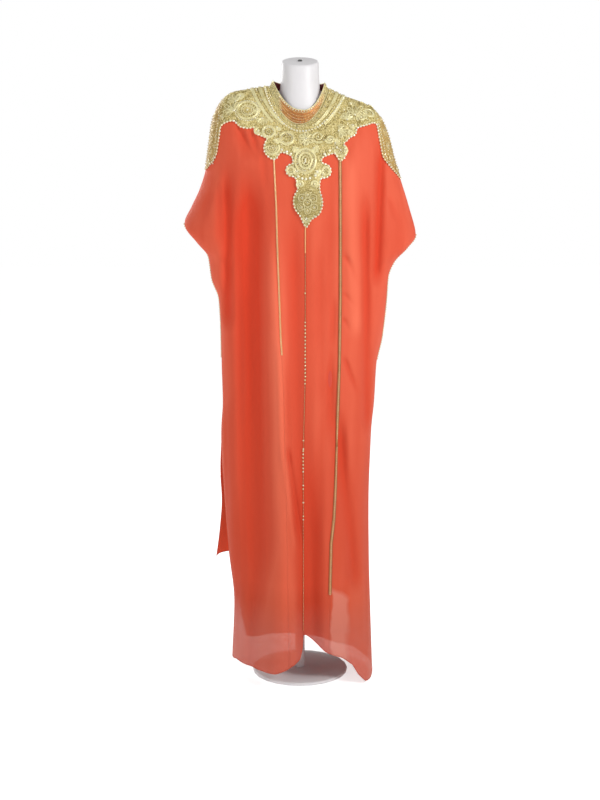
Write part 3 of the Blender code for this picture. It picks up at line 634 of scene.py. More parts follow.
def coral_chiffon():
    """Fine plain-weave chiffon: opaque over its lining, sheer where only the hem hangs below it. Its colour
    has painted shade in its folds and towards the hem, painted light where the backdrop shows through the hem
    and a patch in front, and a painted glow, in place of light from behind, on the back's loose corner at
    the left slit."""
    made = Finish("coral_chiffon", Roughness=0.62, Sheen_Weight=0.12, Sheen_Roughness=0.45,
                  Sheen_Tint=(1.0, 0.66, 0.52, 1), Specular_IOR_Level=0.14, Emission_Strength=1.0)
    at = made.place()
    across, depth, height = (made.part(at, axis) for axis in "XYZ")
    cloud = made.noise(at, 5.0)
    # Painted shade and light: the colour darkens with each fold's depth and lightens on its ridges, with
    # random streaks and clouds mixed in.
    light = made.span(made.attribute("deep"), *FOLD_LIGHT)
    streaks = made.grain(at, (26.0, 26.0, 1.6), 3.0)
    tone = (light + (streaks - 0.5) * 0.35 + (cloud - 0.5) * 0.30).clamp()
    colour = made.ramp(tone, (0.0, LIT_RIDGE_CORAL), (0.42, MID_CORAL), (1.0, FOLD_SHADE_CORAL))
    # Painted shade, darker towards the hem.
    colour = made.mix(made.span(height, *LOWER_SHADE_Z) * 0.6, colour, LOW_SHADE_CORAL)
    # Painted light: the hem is painted paler where the backdrop would show through it.
    hem = made.span(height + (cloud - 0.5) * 0.04, *HEM_Z)
    colour = made.mix(hem * 0.40, colour, HEM_BACKLIT_PINK)
    # Painted light: a front patch is painted paler, as if the backdrop showed through it.
    side = across + (made.noise(at, 16.0) - 0.5) * 0.03
    backlit_patch = made.span(side, *PATCH_LEFT) * made.span(side, *PATCH_RIGHT) * made.span(depth, *FRONT_Y)
    backlit_patch = backlit_patch * made.span(height + side * PATCH_SLANT, *PATCH_TOP)
    made.feed("Base Color", made.mix(backlit_patch * 0.55, colour, PATCH_BACKLIT_PINK))
    # Painted glow: the back's loose corner emits light, standing in for light shining through from behind.
    flap = made.attribute("inside") * made.span(across, *FLAP_X) * made.span(height, *FLAP_Z)
    made.feed("Emission Color", made.mix(flap, (0, 0, 0, 1), FLAP_GLOW))
    made.feed("Alpha", made.span(height, *SHEER_Z, 1.0, SHEER_ALPHA))
    warp, weft = (made.threads_of(direction, WEAVE_THREADS) for direction in "XY")
    crepe = made.grain(at, (420.0, 420.0, 160.0))
    made.bump(warp * 0.2 + weft * 0.2 + crepe, 0.0004, 0.35)
    return made.material


def coral_lining():
    made = Finish("coral_lining", Roughness=0.5, Sheen_Weight=0.2, Specular_IOR_Level=0.35)
    streaks = made.grain(made.place(), (18.0, 18.0, 1.2), 3.0)
    made.mottle(streaks, (0.60, 0.055, 0.028, 1), (0.76, 0.085, 0.045, 1))
    made.bump(made.threads_of("DIAGONAL", TWILL_THREADS), 0.0002, 0.3)
    return made.material


def tarnish(made, at, colour, arms, pendant):
    """The arm bands are browner and the hanging lobe more olive than the rest."""
    aside = abs(made.part(at, "X"))
    colour = made.mix(made.span(aside, 0.186, 0.204, 0.0, arms), colour, BROWN_GOLD)
    inner = made.span(aside, 0.09, 0.07)
    low = made.span(made.part(at, "Z"), 1.275, 1.245, 0.0, pendant)
    return made.mix(low * inner, colour, OLIVE_GOLD)


def gold_beads(name, dark=0.0):
    """Glass and metal beads: each with its own tone, from old gold to champagne white."""
    made = Finish(name, Metallic=0.2, Coat_Weight=0.6, Coat_Roughness=0.08)
    at = made.place()
    tone = made.attribute("tone")
    colour = made.ramp(tone, (0.0, DARK_GOLD), (0.35 + dark, GOLD), (0.72, PALE_GOLD), (0.95, WHITE_GOLD))
    made.feed("Base Color", tarnish(made, at, colour, 0.35, 0.25))
    made.feed("Roughness", made.span(tone, 0.0, 1.0, 0.42, 0.2))
    made.bump(made.noise(at, 900.0, 1.0), 0.0003, 0.4)
    return made.material


def gold_cord(name, pale, shade, worn=True):
    """Couched cord of twisted metal thread."""
    made = Finish(name, Metallic=0.25, Roughness=0.3)
    at = made.place()
    twist = made.noise(at, 700.0, 1.0)
    patina = made.noise(at, 40.0)
    colour = made.ramp((twist * 0.7 + patina * 0.3).clamp(), (0.36, shade), (0.54, pale))
    made.feed("Base Color", tarnish(made, at, colour, 0.55, 0.45) if worn else colour)
    made.bump(twist, 0.0005, 0.7)
    return made.material


def gold_ground():
    """The close filling stitches under the beads, darker than the beads: partly their own olive gold, partly
    painted shade in the gaps between the beads.
    """
    made = Finish("stitched_ground", Metallic=0.1, Roughness=0.55)
    at = made.place()
    stitches = made.grain(at, (500.0, 300.0, 180.0))
    shade = made.noise(at, 60.0, 3.0)
    # Its darkest tone is partly painted shade between the beads.
    colour = made.ramp(
        (stitches * 0.6 + shade * 0.4).clamp(), (0.34, (0.16, 0.11, 0.025, 1)),
        (0.50, (0.50, 0.39, 0.12, 1)), (0.66, (0.92, 0.80, 0.40, 1)),
    )
    made.feed("Base Color", tarnish(made, at, colour, 0.7, 0.6))
    made.bump(stitches, 0.0008, 0.8)
    return made.material


def collar_mesh():
    """Gold net over coral in front, close beading at the sides, and dark burgundy on the inner wall."""
    made = Finish("collar_net", Metallic=0.35, Roughness=0.45)
    at = made.place()
    aside = abs(made.part(at, "X") - 0.008)
    middle = made.span(aside, 0.062, 0.050) * made.span(made.part(at, "Y"), -0.02, -0.045)
    net = made.noise(at, 420.0, 1.5)
    brown = made.ramp(net, (0.35, (0.34, 0.10, 0.03, 1)), (0.65, (0.70, 0.30, 0.08, 1)))
    pale = made.ramp(net, (0.35, DARK_GOLD), (0.6, PALE_GOLD))
    made.feed("Base Color", made.mix(made.attribute("inside"), made.mix(middle, pale, brown), BURGUNDY))
    made.bump(net, 0.0006, 0.8)
    return made.material


def white_shell():
    made = Finish("white_moulding", Roughness=0.42, Specular_IOR_Level=0.45)
    at = made.place()
    wear = made.noise(at, 14.0, 3.0)
    made.mottle(wear, (0.78, 0.76, 0.77, 1), (0.84, 0.82, 0.83, 1))
    made.feed("Roughness", made.span(wear, 0.0, 1.0, 0.36, 0.5))
    made.bump(made.noise(at, 260.0), 0.0002, 0.25)
    return made.material


def steel():
    made = Finish("brushed_steel", Metallic=1.0, Roughness=0.3)
    lines = made.grain(made.place(), (60.0, 60.0, 900.0))
    made.mottle(lines, (0.5, 0.5, 0.5, 1), (0.66, 0.66, 0.65, 1))
    made.feed("Roughness", made.span(lines, 0.0, 1.0, 0.24, 0.42))
    return made.material


def dark_rubber():
    made = Finish("dark_plug", Roughness=0.6)
    made.mottle(made.noise(made.place(), 500.0), (0.05, 0.05, 0.05, 1), (0.12, 0.12, 0.12, 1))
    return made.material


CHIFFON_FINISH = coral_chiffon()
LINING_FINISH = coral_lining()
BEAD_FINISH = gold_beads("gold_beads")
DARK_BEAD_FINISH = gold_beads("antique_beads", dark=0.2)
CORD_FINISH = gold_cord("gold_cord", (1.0, 0.94, 0.56, 1), (0.56, 0.43, 0.13, 1))
BRAID_FINISH = gold_cord("braid_cord", (0.72, 0.35, 0.13, 1), (0.40, 0.16, 0.045, 1), worn=False)
THREAD_FINISH = gold_cord("middle_thread", (0.66, 0.24, 0.10, 1), (0.50, 0.15, 0.06, 1), worn=False)
PALE_BRAID = gold_cord("braid_pale", (1.0, 0.62, 0.28, 1), (0.86, 0.44, 0.17, 1), worn=False)
DARK_BRAID = gold_cord("braid_dark", (0.50, 0.16, 0.06, 1), (0.30, 0.10, 0.03, 1), worn=False)
GROUND_FINISH = gold_ground()
COLLAR_FINISH = collar_mesh()
FORM_FINISH = white_shell()

# The cloth panels.

SIDE_CELLS = 84
CENTRE_CELLS = 26
BACK_CELLS = 150
ROWS = 300
LINING_CELLS = 90
LINING_ROWS = 120
Panel = namedtuple("Panel", "name cells flat area side")
PANELS = listed(
    Panel,
    ("front_side_left", SIDE_CELLS, (0.36, 1.50), 0.33, -HALF_STEP),
    ("front_centre_left", CENTRE_CELLS, (0.09, 1.42), 0.078, -HALF_STEP),
    ("front_centre_right", CENTRE_CELLS, (0.11, 1.40), 0.113, HALF_STEP),
    ("front_side_right", SIDE_CELLS, (0.33, 1.50), 0.262, HALF_STEP),
)


def front_angles(v):
    """The angles of the front's columns, row by row: edges, braids and middle line keep their columns."""
    middle_z = height_of(FRONT, 0.0, v)
    edge = np.full_like(v, math.pi / 2)
    seams = [angle_of(run_at(line, middle_z), v) for line in (BRAID_LEFT, MIDDLE_LINE, BRAID_RIGHT)]
    stations = [-edge, *seams, edge]
    columns = [stations[0][:, None]]
    for panel, a, b in zip(PANELS, stations, stations[1:]):
        steps = np.arange(1, panel.cells + 1) / panel.cells
        columns.append(a[:, None] + (b - a)[:, None] * steps[None, :])
    return np.concatenate(columns, axis=1)


def row_levels():
    """Ring counts of the rows, evenly spaced down the middle of the front."""
    fine = np.linspace(0, LAST, 2000)
    drop = cloth(FRONT, -0.5, fine, calm=1)[0]
    length = np.concatenate([[0], np.cumsum(np.linalg.norm(np.diff(drop, axis=0), axis=-1))])
    return np.interp(np.linspace(0, length[-1], ROWS), length, fine)


LEVELS = row_levels()


def make_panels():
    angles, first = front_angles(LEVELS), 0
    for cut in PANELS:
        columns = angles[:, first:first + cut.cells + 1]
        first += cut.cells
        grid, deep = cloth(FRONT, columns, LEVELS[:, None], side=cut.side)
        panel = sheet_of(f"chiffon_{cut.name}", FRONT, grid, CHIFFON, deep)
        finish(panel, CHIFFON_FINISH, "coral_cloth", cut.name)
    phis = np.linspace(-math.pi / 2, math.pi / 2, BACK_CELLS + 1)
    grid, deep = cloth(BACK, phis[None, :], LEVELS[:, None])
    panel = sheet_of("chiffon_back_panel", BACK, grid, CHIFFON, deep)
    mark_inside(panel)
    finish(panel, CHIFFON_FINISH, "coral_cloth", "back_panel")


def level_at(face, phis, heights):
    """The ring counts at which the skirt comes down to these heights."""
    return rings_down_to(heights, lambda count: height_of(face, phis, count), THIGH, LAST)


def lining_rows(face, phis, levels, share):
    """The cloth's own shape from the waist down, calmer, and drawn to the lining's own hem."""
    for v, part in zip(levels, share):
        calm = max(LINING_CALM * part, LEAST_CALM)
        if v <= THIGH:
            yield cloth(face, phis, v, calm)[0]
            continue
        top = cloth(face, phis, THIGH, calm)[0]
        height = top[:, 2] + (along(LINING_HEM, top[:, 0]) - top[:, 2]) * (v - THIGH) / (LAST - THIGH)
        level = level_at(face, phis, height)
        row = cloth(face, phis, level, calm)[0]
        row[:, 2] = height
        if face == BACK:
            narrow = TRACKS["left"](level_at(FRONT, phis, height)) / TRACKS["back_left"](level)
            row[:, 0] = np.where(row[:, 0] < 0, row[:, 0] * narrow, row[:, 0])
        yield row


def make_lining(name, face, node):
    phis = np.linspace(-math.pi / 2, math.pi / 2, LINING_CELLS + 1)
    levels = np.linspace(WAIST, LAST, LINING_ROWS)
    share = smooth((levels - WAIST) / LINING_RINGS)
    grid = np.array(list(lining_rows(face, phis, levels, share)))
    normals = normals_of(grid, face, seam_edges=(0, -1))
    ease = smooth(np.cos(phis) / CALM_EDGE)
    free = LINING_SLIT * smooth(levels - THIGH)[:, None] * (1 - ease)[None, :]
    inward = LINING_INSET + (LINING_CLEARANCE + LINING_EASE * share)[:, None] * ease[None, :] + free
    heights = grid[:, :, 2].copy()
    grid = grid - normals * inward[..., None]
    grid[:, :, 2] = heights
    grid[:, (0, -1), 1] = LINING_SEAM_GAP * face
    panel = sheet_of(name, face, grid, LINING)
    finish(panel, LINING_FINISH, "coral_lining", node)


make_panels()
make_lining("lining_front_skirt", FRONT, "lining_front")
make_lining("lining_back_skirt", BACK, "lining_back")

# The yoke.

ABOVE_NECK_Z = 1700
ATLAS_V = np.linspace(0, 11, 190)
ATLAS_PHI = np.linspace(-math.pi / 2, math.pi / 2, 260)


def embroidery_surface():
    """A tree of the upper cloth's faces, front and back in one, that the work is laid on."""
    points, faces = [], []
    for face in (FRONT, BACK):
        grid = cloth(face, ATLAS_PHI[None, :], ATLAS_V[:, None])[0]
        index = numbered(grid) + len(points)
        faces += quads(index, face).reshape(-1, 4).tolist()
        points += grid.reshape(-1, 3).tolist()
    return BVHTree.FromPolygons(points, faces)


SURFACE = embroidery_surface()


def relief(face, x, z):
    """How far the padding under the medallions lifts the work."""
    raised = np.zeros_like(np.asarray(x, float))
    for dome in FRONT_DOMES if face == FRONT else BACK_DOMES:
        reach = ((x - dome.x) ** 2 + (z - dome.z) ** 2) / dome.radius**2
        raised = np.maximum(raised, dome.height * np.sqrt(np.maximum(0, 1 - reach)))
    return raised


def drape(points, lift):
    """Brings points onto the cloth and lifts them off it and its padding. Returns points and normals."""
    found = [SURFACE.find_nearest(Vector(point))[:2] for point in points]
    spots = np.array([spot for spot, _ in found])
    normals = np.array([normal for _, normal in found])
    padding = np.where(
        spots[:, 1] < 0, relief(FRONT, spots[:, 0], spots[:, 2]), relief(BACK, spots[:, 0], spots[:, 2])
    )
    return spots + normals * (lift + padding)[:, None], normals


def point_at(face, x, z):
    phi, v = place(face, x, z)
    return cloth(face, phi, v)[0]


def spaced(points, step):
    """Points at even steps along a line of points."""
    length = np.concatenate([[0], np.cumsum(np.linalg.norm(np.diff(points, axis=0), axis=-1))])
    at = np.linspace(0, length[-1], max(2, int(length[-1] / step)))
    return np.stack([np.interp(at, length, points[:, k]) for k in range(points.shape[1])], -1)


class Outline:
    """The lobed edge of the work as seen from straight ahead, closed above."""

    def __init__(self, face, spots):
        self.face = face
        line = np.array([(spot.x, spot.z) for spot in spots], float)
        for _ in range(2):
            a, b = line[:-1], line[1:]
            cut = np.stack([0.75 * a + 0.25 * b, 0.25 * a + 0.75 * b], 1).reshape(-1, 2)
            line = np.vstack([line[:1], cut, line[-1:]])
        self.line = line
        self.closed = np.vstack([line, [(line[-1][0], ABOVE_NECK_Z), (line[0][0], ABOVE_NECK_Z)]])

    def inside(self, x, z):
        ax, az = self.closed.T
        bx, bz = np.roll(self.closed, -1, 0).T
        at_x, at_z = np.ravel(x)[:, None], np.ravel(z)[:, None]
        spans = (az > at_z) != (bz > at_z)
        crossing = (bx - ax) * (at_z - az) / np.where(bz == az, 1, bz - az) + ax
        return ((spans & (at_x < crossing)).sum(1) % 2 == 1).reshape(np.shape(x))

    def nearest(self, x, z):
        """The nearest points of the edge, and their distances."""
        a, b = self.line[:-1], self.line[1:]
        at = np.stack([np.ravel(x), np.ravel(z)], -1)[:, None]
        share = ((at - a) * (b - a)).sum(-1) / np.maximum(((b - a) ** 2).sum(-1), 1e-9)
        spots = a + (b - a) * np.clip(share, 0, 1)[..., None]
        away = np.linalg.norm(at - spots, axis=-1)
        best = away.argmin(1)
        rows = np.arange(len(best))
        return spots[rows, best], away[rows, best]

    def on_cloth(self, step):
        """The edge as points of the cloth, but for its ends out past the sleeves."""
        flat = spaced(self.line, step)
        phi, v = place(self.face, flat[:, 0], flat[:, 1])
        half = np.where(flat[:, 0] > 0, TRACKS["right"](v), TRACKS["left"](v))
        return cloth(self.face, phi, v)[0][np.abs(flat[:, 0]) < half - 0.2]


FRONT_OUTLINE = Outline(FRONT, YOKE_EDGE)
BACK_OUTLINE = Outline(BACK, BACK_YOKE_EDGE)
GROUND_COLUMNS = 261
GROUND_ROWS = 122
GROUND_LOW = 8.6
EDGE_REACH = 3.4


def make_ground(name, outline, node):
    """The stitched net under the beads: the cloth's own grid, cut out and drawn to the lobed edge."""
    face = outline.face
    phis = np.arcsin(np.linspace(-1, 1, GROUND_COLUMNS))[None, :]
    levels = np.linspace(0, GROUND_LOW, GROUND_ROWS)[:, None]
    grid = cloth(face, phis, levels)[0]
    centres = (grid[:-1, :-1] + grid[1:, 1:] + grid[1:, :-1] + grid[:-1, 1:]) / 4
    keep = outline.inside(centres[..., 0], centres[..., 2])
    around = np.zeros(grid.shape[:2], int)
    for rows in (slice(0, -1), slice(1, None)):
        for columns in (slice(0, -1), slice(1, None)):
            around[rows, columns] += keep
    rim = (around > 0) & (around < 4)
    rim[0] = rim[:, 0] = rim[:, -1] = False
    spots, away = outline.nearest(grid[rim][:, 0], grid[rim][:, 2])
    near = away < EDGE_REACH
    moved = grid[rim]
    moved[near] = point_at(face, spots[near, 0], spots[near, 1])
    normals = normals_of(grid, face, seam_edges=(0, -1))
    grid[rim] = moved
    grid = grid + normals * (GROUND_LIFT + relief(face, grid[..., 0], grid[..., 2]))[..., None]
    grid[:, (0, -1), 1] = 0
    faces = quads(numbered(grid), face)[keep]
    used, renumbered = np.unique(faces, return_inverse=True)
    obj = shape(name, grid.reshape(-1, 3)[used], renumbered.reshape(faces.shape))
    thicken(obj, GROUND)
    finish(obj, GROUND_FINISH, "gold_work", node)


class Hoop:
    """A flat working plane that touches the cloth at a motif's middle."""

    def __init__(self, face, x, z):
        spot, normal, _, _ = SURFACE.find_nearest(Vector(point_at(face, x, z)))
        self.middle, self.normal = np.array(spot), np.array(normal)
        self.across = unit(np.cross([0, 0, 1.0], self.normal))
        self.up = np.cross(self.normal, self.across)

    def lay(self, flat, lift):
        flat = np.asarray(flat, float)
        return drape(self.middle + flat[:, :1] * self.across + flat[:, 1:2] * self.up, WORK_LIFT + lift)

    def couch(self, flat, lift=1.0, kind="cord", closed=False):
        couch(self.lay(flat, lift)[0], kind, closed)

    def sew(self, flat, size, lift=1.2, tone=1.0, kind="pearl"):
        sew(*self.lay(flat, lift), size, kind, tone)


cords = {"cord": [], "fine": []}
beads = {"pearl": [], "seed": [], "sequin": []}
THICK = {"cord": 1.5, "fine": 0.95}
STRAND_GAP = 2.3
CENTRE = [[0, 0]]
DROP_RINGS = (
    (-0.42, 0.36, 0.36), (0.42, 0.34, 0.36), (0.0, 0.02, 0.42), (-0.5, -0.34, 0.32), (0.5, -0.36, 0.32),
    (0.0, 0.62, 0.26), (0.0, -0.62, 0.30),
)


def couch(points, kind="cord", closed=False):
    cords[kind].append((np.asarray(points), closed))


def placed(points, normals, size, tone=None, lift=0.0):
    """Beads, each with its place, direction, size and tone."""
    sizes = np.broadcast_to(np.asarray(size, float), (len(points),))
    return [(p + n * lift, n, width, tone) for p, n, width in zip(points, normals, sizes)]


def sew(points, normals, size, kind="seed", tone=None):
    beads[kind].extend(placed(points, normals, size, tone))


def heading(angle, squash=1.0):
    return np.array([[math.cos(angle), squash * math.sin(angle)]])


def turns(count, start):
    return [start + n * 2 * math.pi / count for n in range(count)]


def circle(radius, count, start=0.0, squash=1.0):
    turn = start + np.arange(count) * 2 * math.pi / count
    return np.stack([radius * np.cos(turn), radius * squash * np.sin(turn)], -1)


def spiral(inner, outer, turns, start, hand):
    share = np.linspace(0, 1, int(22 * turns) + 6)
    radius = inner + (outer - inner) * share
    turn = start + hand * share * turns * 2 * math.pi
    return np.stack([radius * np.cos(turn), radius * np.sin(turn)], -1)


def petal(length, width, angle, root=0.0):
    """A pointed loop that starts and ends at its root."""
    share = np.linspace(0, 1, 13)
    out = root + (length - root) * np.sin(share * math.pi) ** 0.8
    side = width * np.sin(share * 2 * math.pi) * 0.5
    along_x, along_y = math.cos(angle), math.sin(angle)
    return np.stack([out * along_x - side * along_y, out * along_y + side * along_x], -1)


def rim(hoop, radius, squash=1.0, strands=2):
    """A raised edge of cords side by side."""
    for n in range(strands):
        ring = circle(radius - n * STRAND_GAP, max(16, int(radius * 1.6)), 0, squash)
        hoop.couch(ring, 1.0 + 0.4 * (n % 2), closed=True)


def pearls(hoop, radius, size, step, squash=1.0, lift=0.8):
    count = max(5, int(radius * 2 * math.pi / step))
    hoop.sew(circle(radius, count, 0.2, squash), size, lift, 0.95)


def rays(hoop, inner, outer, count, turn=0.0, squash=1.0):
    """Short straight stitches that fan out from the middle."""
    for angle in turns(count, turn):
        hoop.couch(np.linspace(inner, outer, 4)[:, None] * heading(angle, squash), 0.5, "fine")


def rosette(hoop, radius, turn):
    rim(hoop, radius * 0.95)
    pearls(hoop, radius * 1.08, 1.8, 5.0, lift=0.4)
    rays(hoop, radius * 0.60, radius * 0.80, max(10, int(radius * 0.7)), turn)
    rim(hoop, radius * 0.54, strands=1)
    pearls(hoop, radius * 0.38, 1.5, 4.2)
    hoop.sew(CENTRE, 2.8)


def eye(hoop, radius, turn):
    """A ring round a dark middle."""
    rim(hoop, radius * 0.95)
    pearls(hoop, radius * 0.66, 1.6, 4.6)
    hoop.couch(circle(radius * 0.30, 12), 0.8, "fine", closed=True)
    hoop.sew(CENTRE, 1.8, 0.9, 0.4)


def swirl(hoop, radius, turn, hand=1):
    for inset in (0.0, 2.4):
        hoop.couch(spiral(radius * 0.2, radius * 0.95 - inset, 1.55, turn, hand))
    hoop.sew(spiral(radius * 0.34, radius * 0.72, 1.3, turn + 2.2, hand)[::3], 1.3, 0.6, None, "seed")
    hoop.sew(CENTRE, 2.3)


def whorl(hoop, radius, turn):
    swirl(hoop, radius, turn, -1)


def flower(hoop, radius, turn, petals=6):
    for angle in turns(petals, turn):
        for width, kind in ((0.62, "cord"), (0.30, "fine")):
            hoop.couch(petal(radius, radius * width, angle, radius * 0.22), kind=kind)
    pearls(hoop, radius * 0.30, 1.4, 4.0)
    hoop.sew(CENTRE, 2.7, 1.3)


def leaves(hoop, radius, turn, count=5):
    """A fan of leaves on a stem."""
    root = heading(turn) * -radius * 0.7
    for n in range(count):
        aside = n - (count - 1) / 2
        angle = turn + aside * 0.60
        reach = radius * (1.62 - 0.16 * abs(aside))
        hoop.couch(petal(reach, radius * 0.44, angle) + root)
        hoop.couch(root + np.linspace(0.25, 0.8, 5)[:, None] * reach * heading(angle), 0.7, "fine")
    hoop.sew(root, 2.4)


def shell(hoop, radius, turn):
    """A scallop: arches within arches, with ribs."""
    sweep = turn + np.linspace(-2.0, 2.0, 24)
    arch = np.stack([np.cos(sweep), np.sin(sweep)], -1) * radius
    for share, lift in ((1.0, 1.0), (0.86, 1.3), (0.62, 1.0)):
        hoop.couch(arch * share, lift)
    for n in range(-3, 4):
        rib = np.linspace(0.64, 0.82, 3)[:, None] * radius * heading(turn + n * 0.52)
        hoop.couch(rib, 0.5, "fine")
    pearls(hoop, radius * 0.36, 1.5, 4.4)
    hoop.sew(CENTRE, 2.3)


def oval(hoop, radius, turn):
    """The tall medallion in the middle, ring within ring."""
    rim(hoop, radius * 0.84, 1.2)
    pearls(hoop, radius * 0.66, 1.5, 4.4, 1.2)
    rim(hoop, radius * 0.53, 1.25, strands=2)
    rim(hoop, radius * 0.27, 1.3, strands=1)
    rays(hoop, radius * 0.28, radius * 0.40, 12, 0.1, 1.25)
    hoop.sew([[0, -3], [0, 0], [0, 3]], 2.4, 1.3)


def drop(hoop, radius, turn):
    """The hanging lobe: a bunch of small petals and darker beads."""
    for x, y, size in DROP_RINGS:
        middle = np.array([[x, y]]) * radius
        hoop.couch(circle(radius * size * 0.8, 14) + middle, closed=True)
        hoop.sew(circle(radius * size * 0.36, 7, turn) + middle, 1.5, 0.8, 0.7)
        hoop.sew(middle, 2.0)


Motif = namedtuple("Motif", "kind x z radius turn")
FRONT_MOTIFS = listed(
    Motif, (rosette, -128, 1446, 27, 0.2), (leaves, -170, 1452, 19, 2.6), (leaves, -160, 1476, 15, 2.0),
    (leaves, -92, 1420, 12, -1.6), (eye, -76, 1394, 17, 0.0), (shell, -101, 1397, 9, 3.6),
    (eye, -32, 1378, 19, 0.0), (flower, 15, 1377, 17, 0.5), (swirl, 44, 1381, 18, 2.0),
    (whorl, 72, 1376, 13, 0.4), (leaves, 104, 1396, 15, 0.0), (leaves, 141, 1444, 22, 0.9),
    (swirl, 148, 1428, 14, 0.6), (eye, 168, 1440, 13, 0.0), (leaves, 116, 1432, 14, 1.4),
    (shell, -66, 1355, 17, -1.5), (shell, 98, 1350, 16, -1.2), (oval, 13, 1325, 31, 0.1),
    (eye, -22, 1302, 10, 0.0), (eye, 62, 1301, 11, 0.0), (swirl, 1, 1270, 11, 0.8),
    (whorl, 34, 1270, 11, 2.2), (drop, 18, 1226, 31, 0.3), (shell, 15, 1188, 9, -1.57),
    (swirl, -188, 1432, 9, 1.0), (shell, -146, 1482, 9, 1.2), (whorl, -104, 1446, 9, 0.4),
    (leaves, -54, 1372, 8, -1.6), (leaves, -10, 1350, 9, -2.3), (leaves, 38, 1351, 9, -0.8),
    (swirl, 178, 1458, 9, 0.5), (whorl, 124, 1462, 9, 2.0), (shell, 128, 1410, 9, -1.4),
    (eye, 122, 1392, 7, 0.0), (shell, -8, 1300, 8, -2.4), (shell, 42, 1299, 8, -0.8),
    (leaves, 90, 1370, 8, 0.6), (swirl, -52, 1400, 7, 0.2),
)
BACK_MOTIFS = listed(
    Motif, (rosette, -137, 1462, 24, 0.2), (rosette, 137, 1454, 23, 0.4), (flower, 0, 1432, 22, 0.5),
    (swirl, -72, 1446, 18, 0.4), (whorl, 72, 1446, 18, 2.0), (leaves, -36, 1432, 14, -1.2),
    (leaves, 36, 1432, 14, -1.9), (eye, -106, 1442, 11, 0.1), (eye, 106, 1440, 11, 0.1),
)


def sew_motifs():
    for face, motifs in ((FRONT, FRONT_MOTIFS), (BACK, BACK_MOTIFS)):
        for motif in motifs:
            motif.kind(Hoop(face, motif.x, motif.z), motif.radius, motif.turn)


Band = namedtuple("Band", "v kind open_front right_drop", defaults=(0.0,))
NECK_BANDS = listed(
    Band, (0.08, "seed", 0), (0.18, "seed", 0), (0.28, "seed", 0), (0.45, "cord", 24), (0.51, "cord", 24),
    (0.57, "cord", 24), (0.24, "pearl", 0, 0.72), (0.72, "seed", 30), (0.86, "cord", 34),
    (0.92, "cord", 34), (0.98, "cord", 34),
)


def sew_neck_bands():
    """Rows that follow the neck's edge, the thick ones broken off in front."""
    for band in NECK_BANDS:
        gap = math.radians(band.open_front)
        front_left = np.linspace(-math.pi / 2, -gap, 50)
        front_right = np.linspace(gap, math.pi / 2, 50)
        back = np.linspace(math.pi / 2, -math.pi / 2, 90)[1:-1]
        ring = np.concatenate([
            cloth(face, phis, band.v + band.right_drop * smooth(phis / math.pi + 0.5))[0]
            for face, phis in ((FRONT, front_right), (BACK, back), (FRONT, front_left))
        ])
        if band.kind == "cord":
            couch(drape(spaced(ring, 4.0), WORK_LIFT + 1.2)[0], closed=band.open_front == 0)
        else:
            step, size = (7.4, 2.7) if band.kind == "pearl" else (3.5, 1.4)
            sew(*drape(spaced(ring, step), WORK_LIFT + 0.9), size, band.kind, 1.0 if size > 2 else None)


ARM_BAND_LEFT = listed(Spot, (-207, 1436), (-211, 1408), (-214, 1380), (-217, 1352), (-222, 1326))
ARM_BAND_RIGHT = listed(Spot, (198, 1428), (206, 1396), (214, 1364), (222, 1334), (238, 1308))


def sew_arm_bands():
    """Small rings and curls follow each other down the upper arms."""
    for line in (ARM_BAND_LEFT, ARM_BAND_RIGHT):
        for n, spot in enumerate(line):
            for face in (FRONT, BACK):
                hoop = Hoop(face, spot.x, spot.z)
                (eye if n % 2 else swirl)(hoop, 8.5, 0.7 * n)
        z = np.arange(line[0].z, line[-1].z - 6, -6.4)
        for face in (FRONT, BACK):
            for shift in (-10.5, 10.5):
                row = point_at(face, run_at(line, z) + shift, z)
                sew(*drape(row, WORK_LIFT + 0.8), 1.9, "pearl", 1.0)


def sew_edge(outline):
    """A fine cord along the lobed edge, and pearls that stand out past it."""
    line = outline.on_cloth(2.4)
    couch(drape(line, WORK_LIFT + 0.4)[0], "fine")
    sew(*drape(spaced(line, 8.0), 2.7), 2.8, "pearl", 1.0)


LARGE_PEARLS = listed(
    Spot, (-4, 1288), (5, 1283), (14, 1282), (24, 1284), (37, 1290), (-44, 1351), (-32, 1346), (-22, 1341),
    (59, 1341), (72, 1349), (89, 1356),
)


def sew_large_pearls():
    spots = np.array(LARGE_PEARLS, float)
    sew(*drape(point_at(FRONT, spots[:, 0], spots[:, 1]), WORK_LIFT + 1.6), 3.5, "pearl", 1.0)


FILLING_TRIES = 30000
FILLING_CELL = 4.0
FILLING_MARGIN = 3.0
FILLING = (("seed", 0.0, 0.76, 1.3, 0.66), ("sequin", 0.76, 0.93, 2.1, None), ("pearl", 0.93, 1.0, 1.8, None))


def sew_filling(outline, motifs, seed):
    """Seed beads and sequins fill the ground between the motifs."""
    rng = np.random.default_rng(seed)
    v = rng.uniform(0.04, GROUND_LOW, FILLING_TRIES)
    phi = np.arcsin(rng.uniform(-1, 1, FILLING_TRIES))
    points = cloth(outline.face, phi, v)[0]
    points = points[outline.inside(points[:, 0], points[:, 2])]
    points = points[outline.nearest(points[:, 0], points[:, 2])[1] > FILLING_MARGIN]
    for motif in motifs:
        away = np.hypot(points[:, 0] - motif.x, points[:, 2] - motif.z)
        points = points[(away > motif.radius * 0.98) | (rng.random(len(points)) < 0.10)]
    taken = {}
    for point in points:
        taken.setdefault(tuple((point // FILLING_CELL).astype(int)), point)
    laid, normals = drape(np.array(list(taken.values())), WORK_LIFT + 0.2)
    share = rng.random(len(laid))
    for kind, low, high, size, tone in FILLING:
        chosen = (share >= low) & (share < high)
        sew(laid[chosen], normals[chosen], size * rng.uniform(0.8, 1.2, chosen.sum()), kind, tone)


make_ground("yoke_ground_front", FRONT_OUTLINE, "yoke_front")
make_ground("yoke_ground_back", BACK_OUTLINE, "yoke_back")
sew_motifs()
sew_neck_bands()
sew_arm_bands()
sew_edge(FRONT_OUTLINE)
sew_edge(BACK_OUTLINE)
sew_large_pearls()
sew_filling(FRONT_OUTLINE, FRONT_MOTIFS, 4)
sew_filling(BACK_OUTLINE, BACK_MOTIFS, 9)


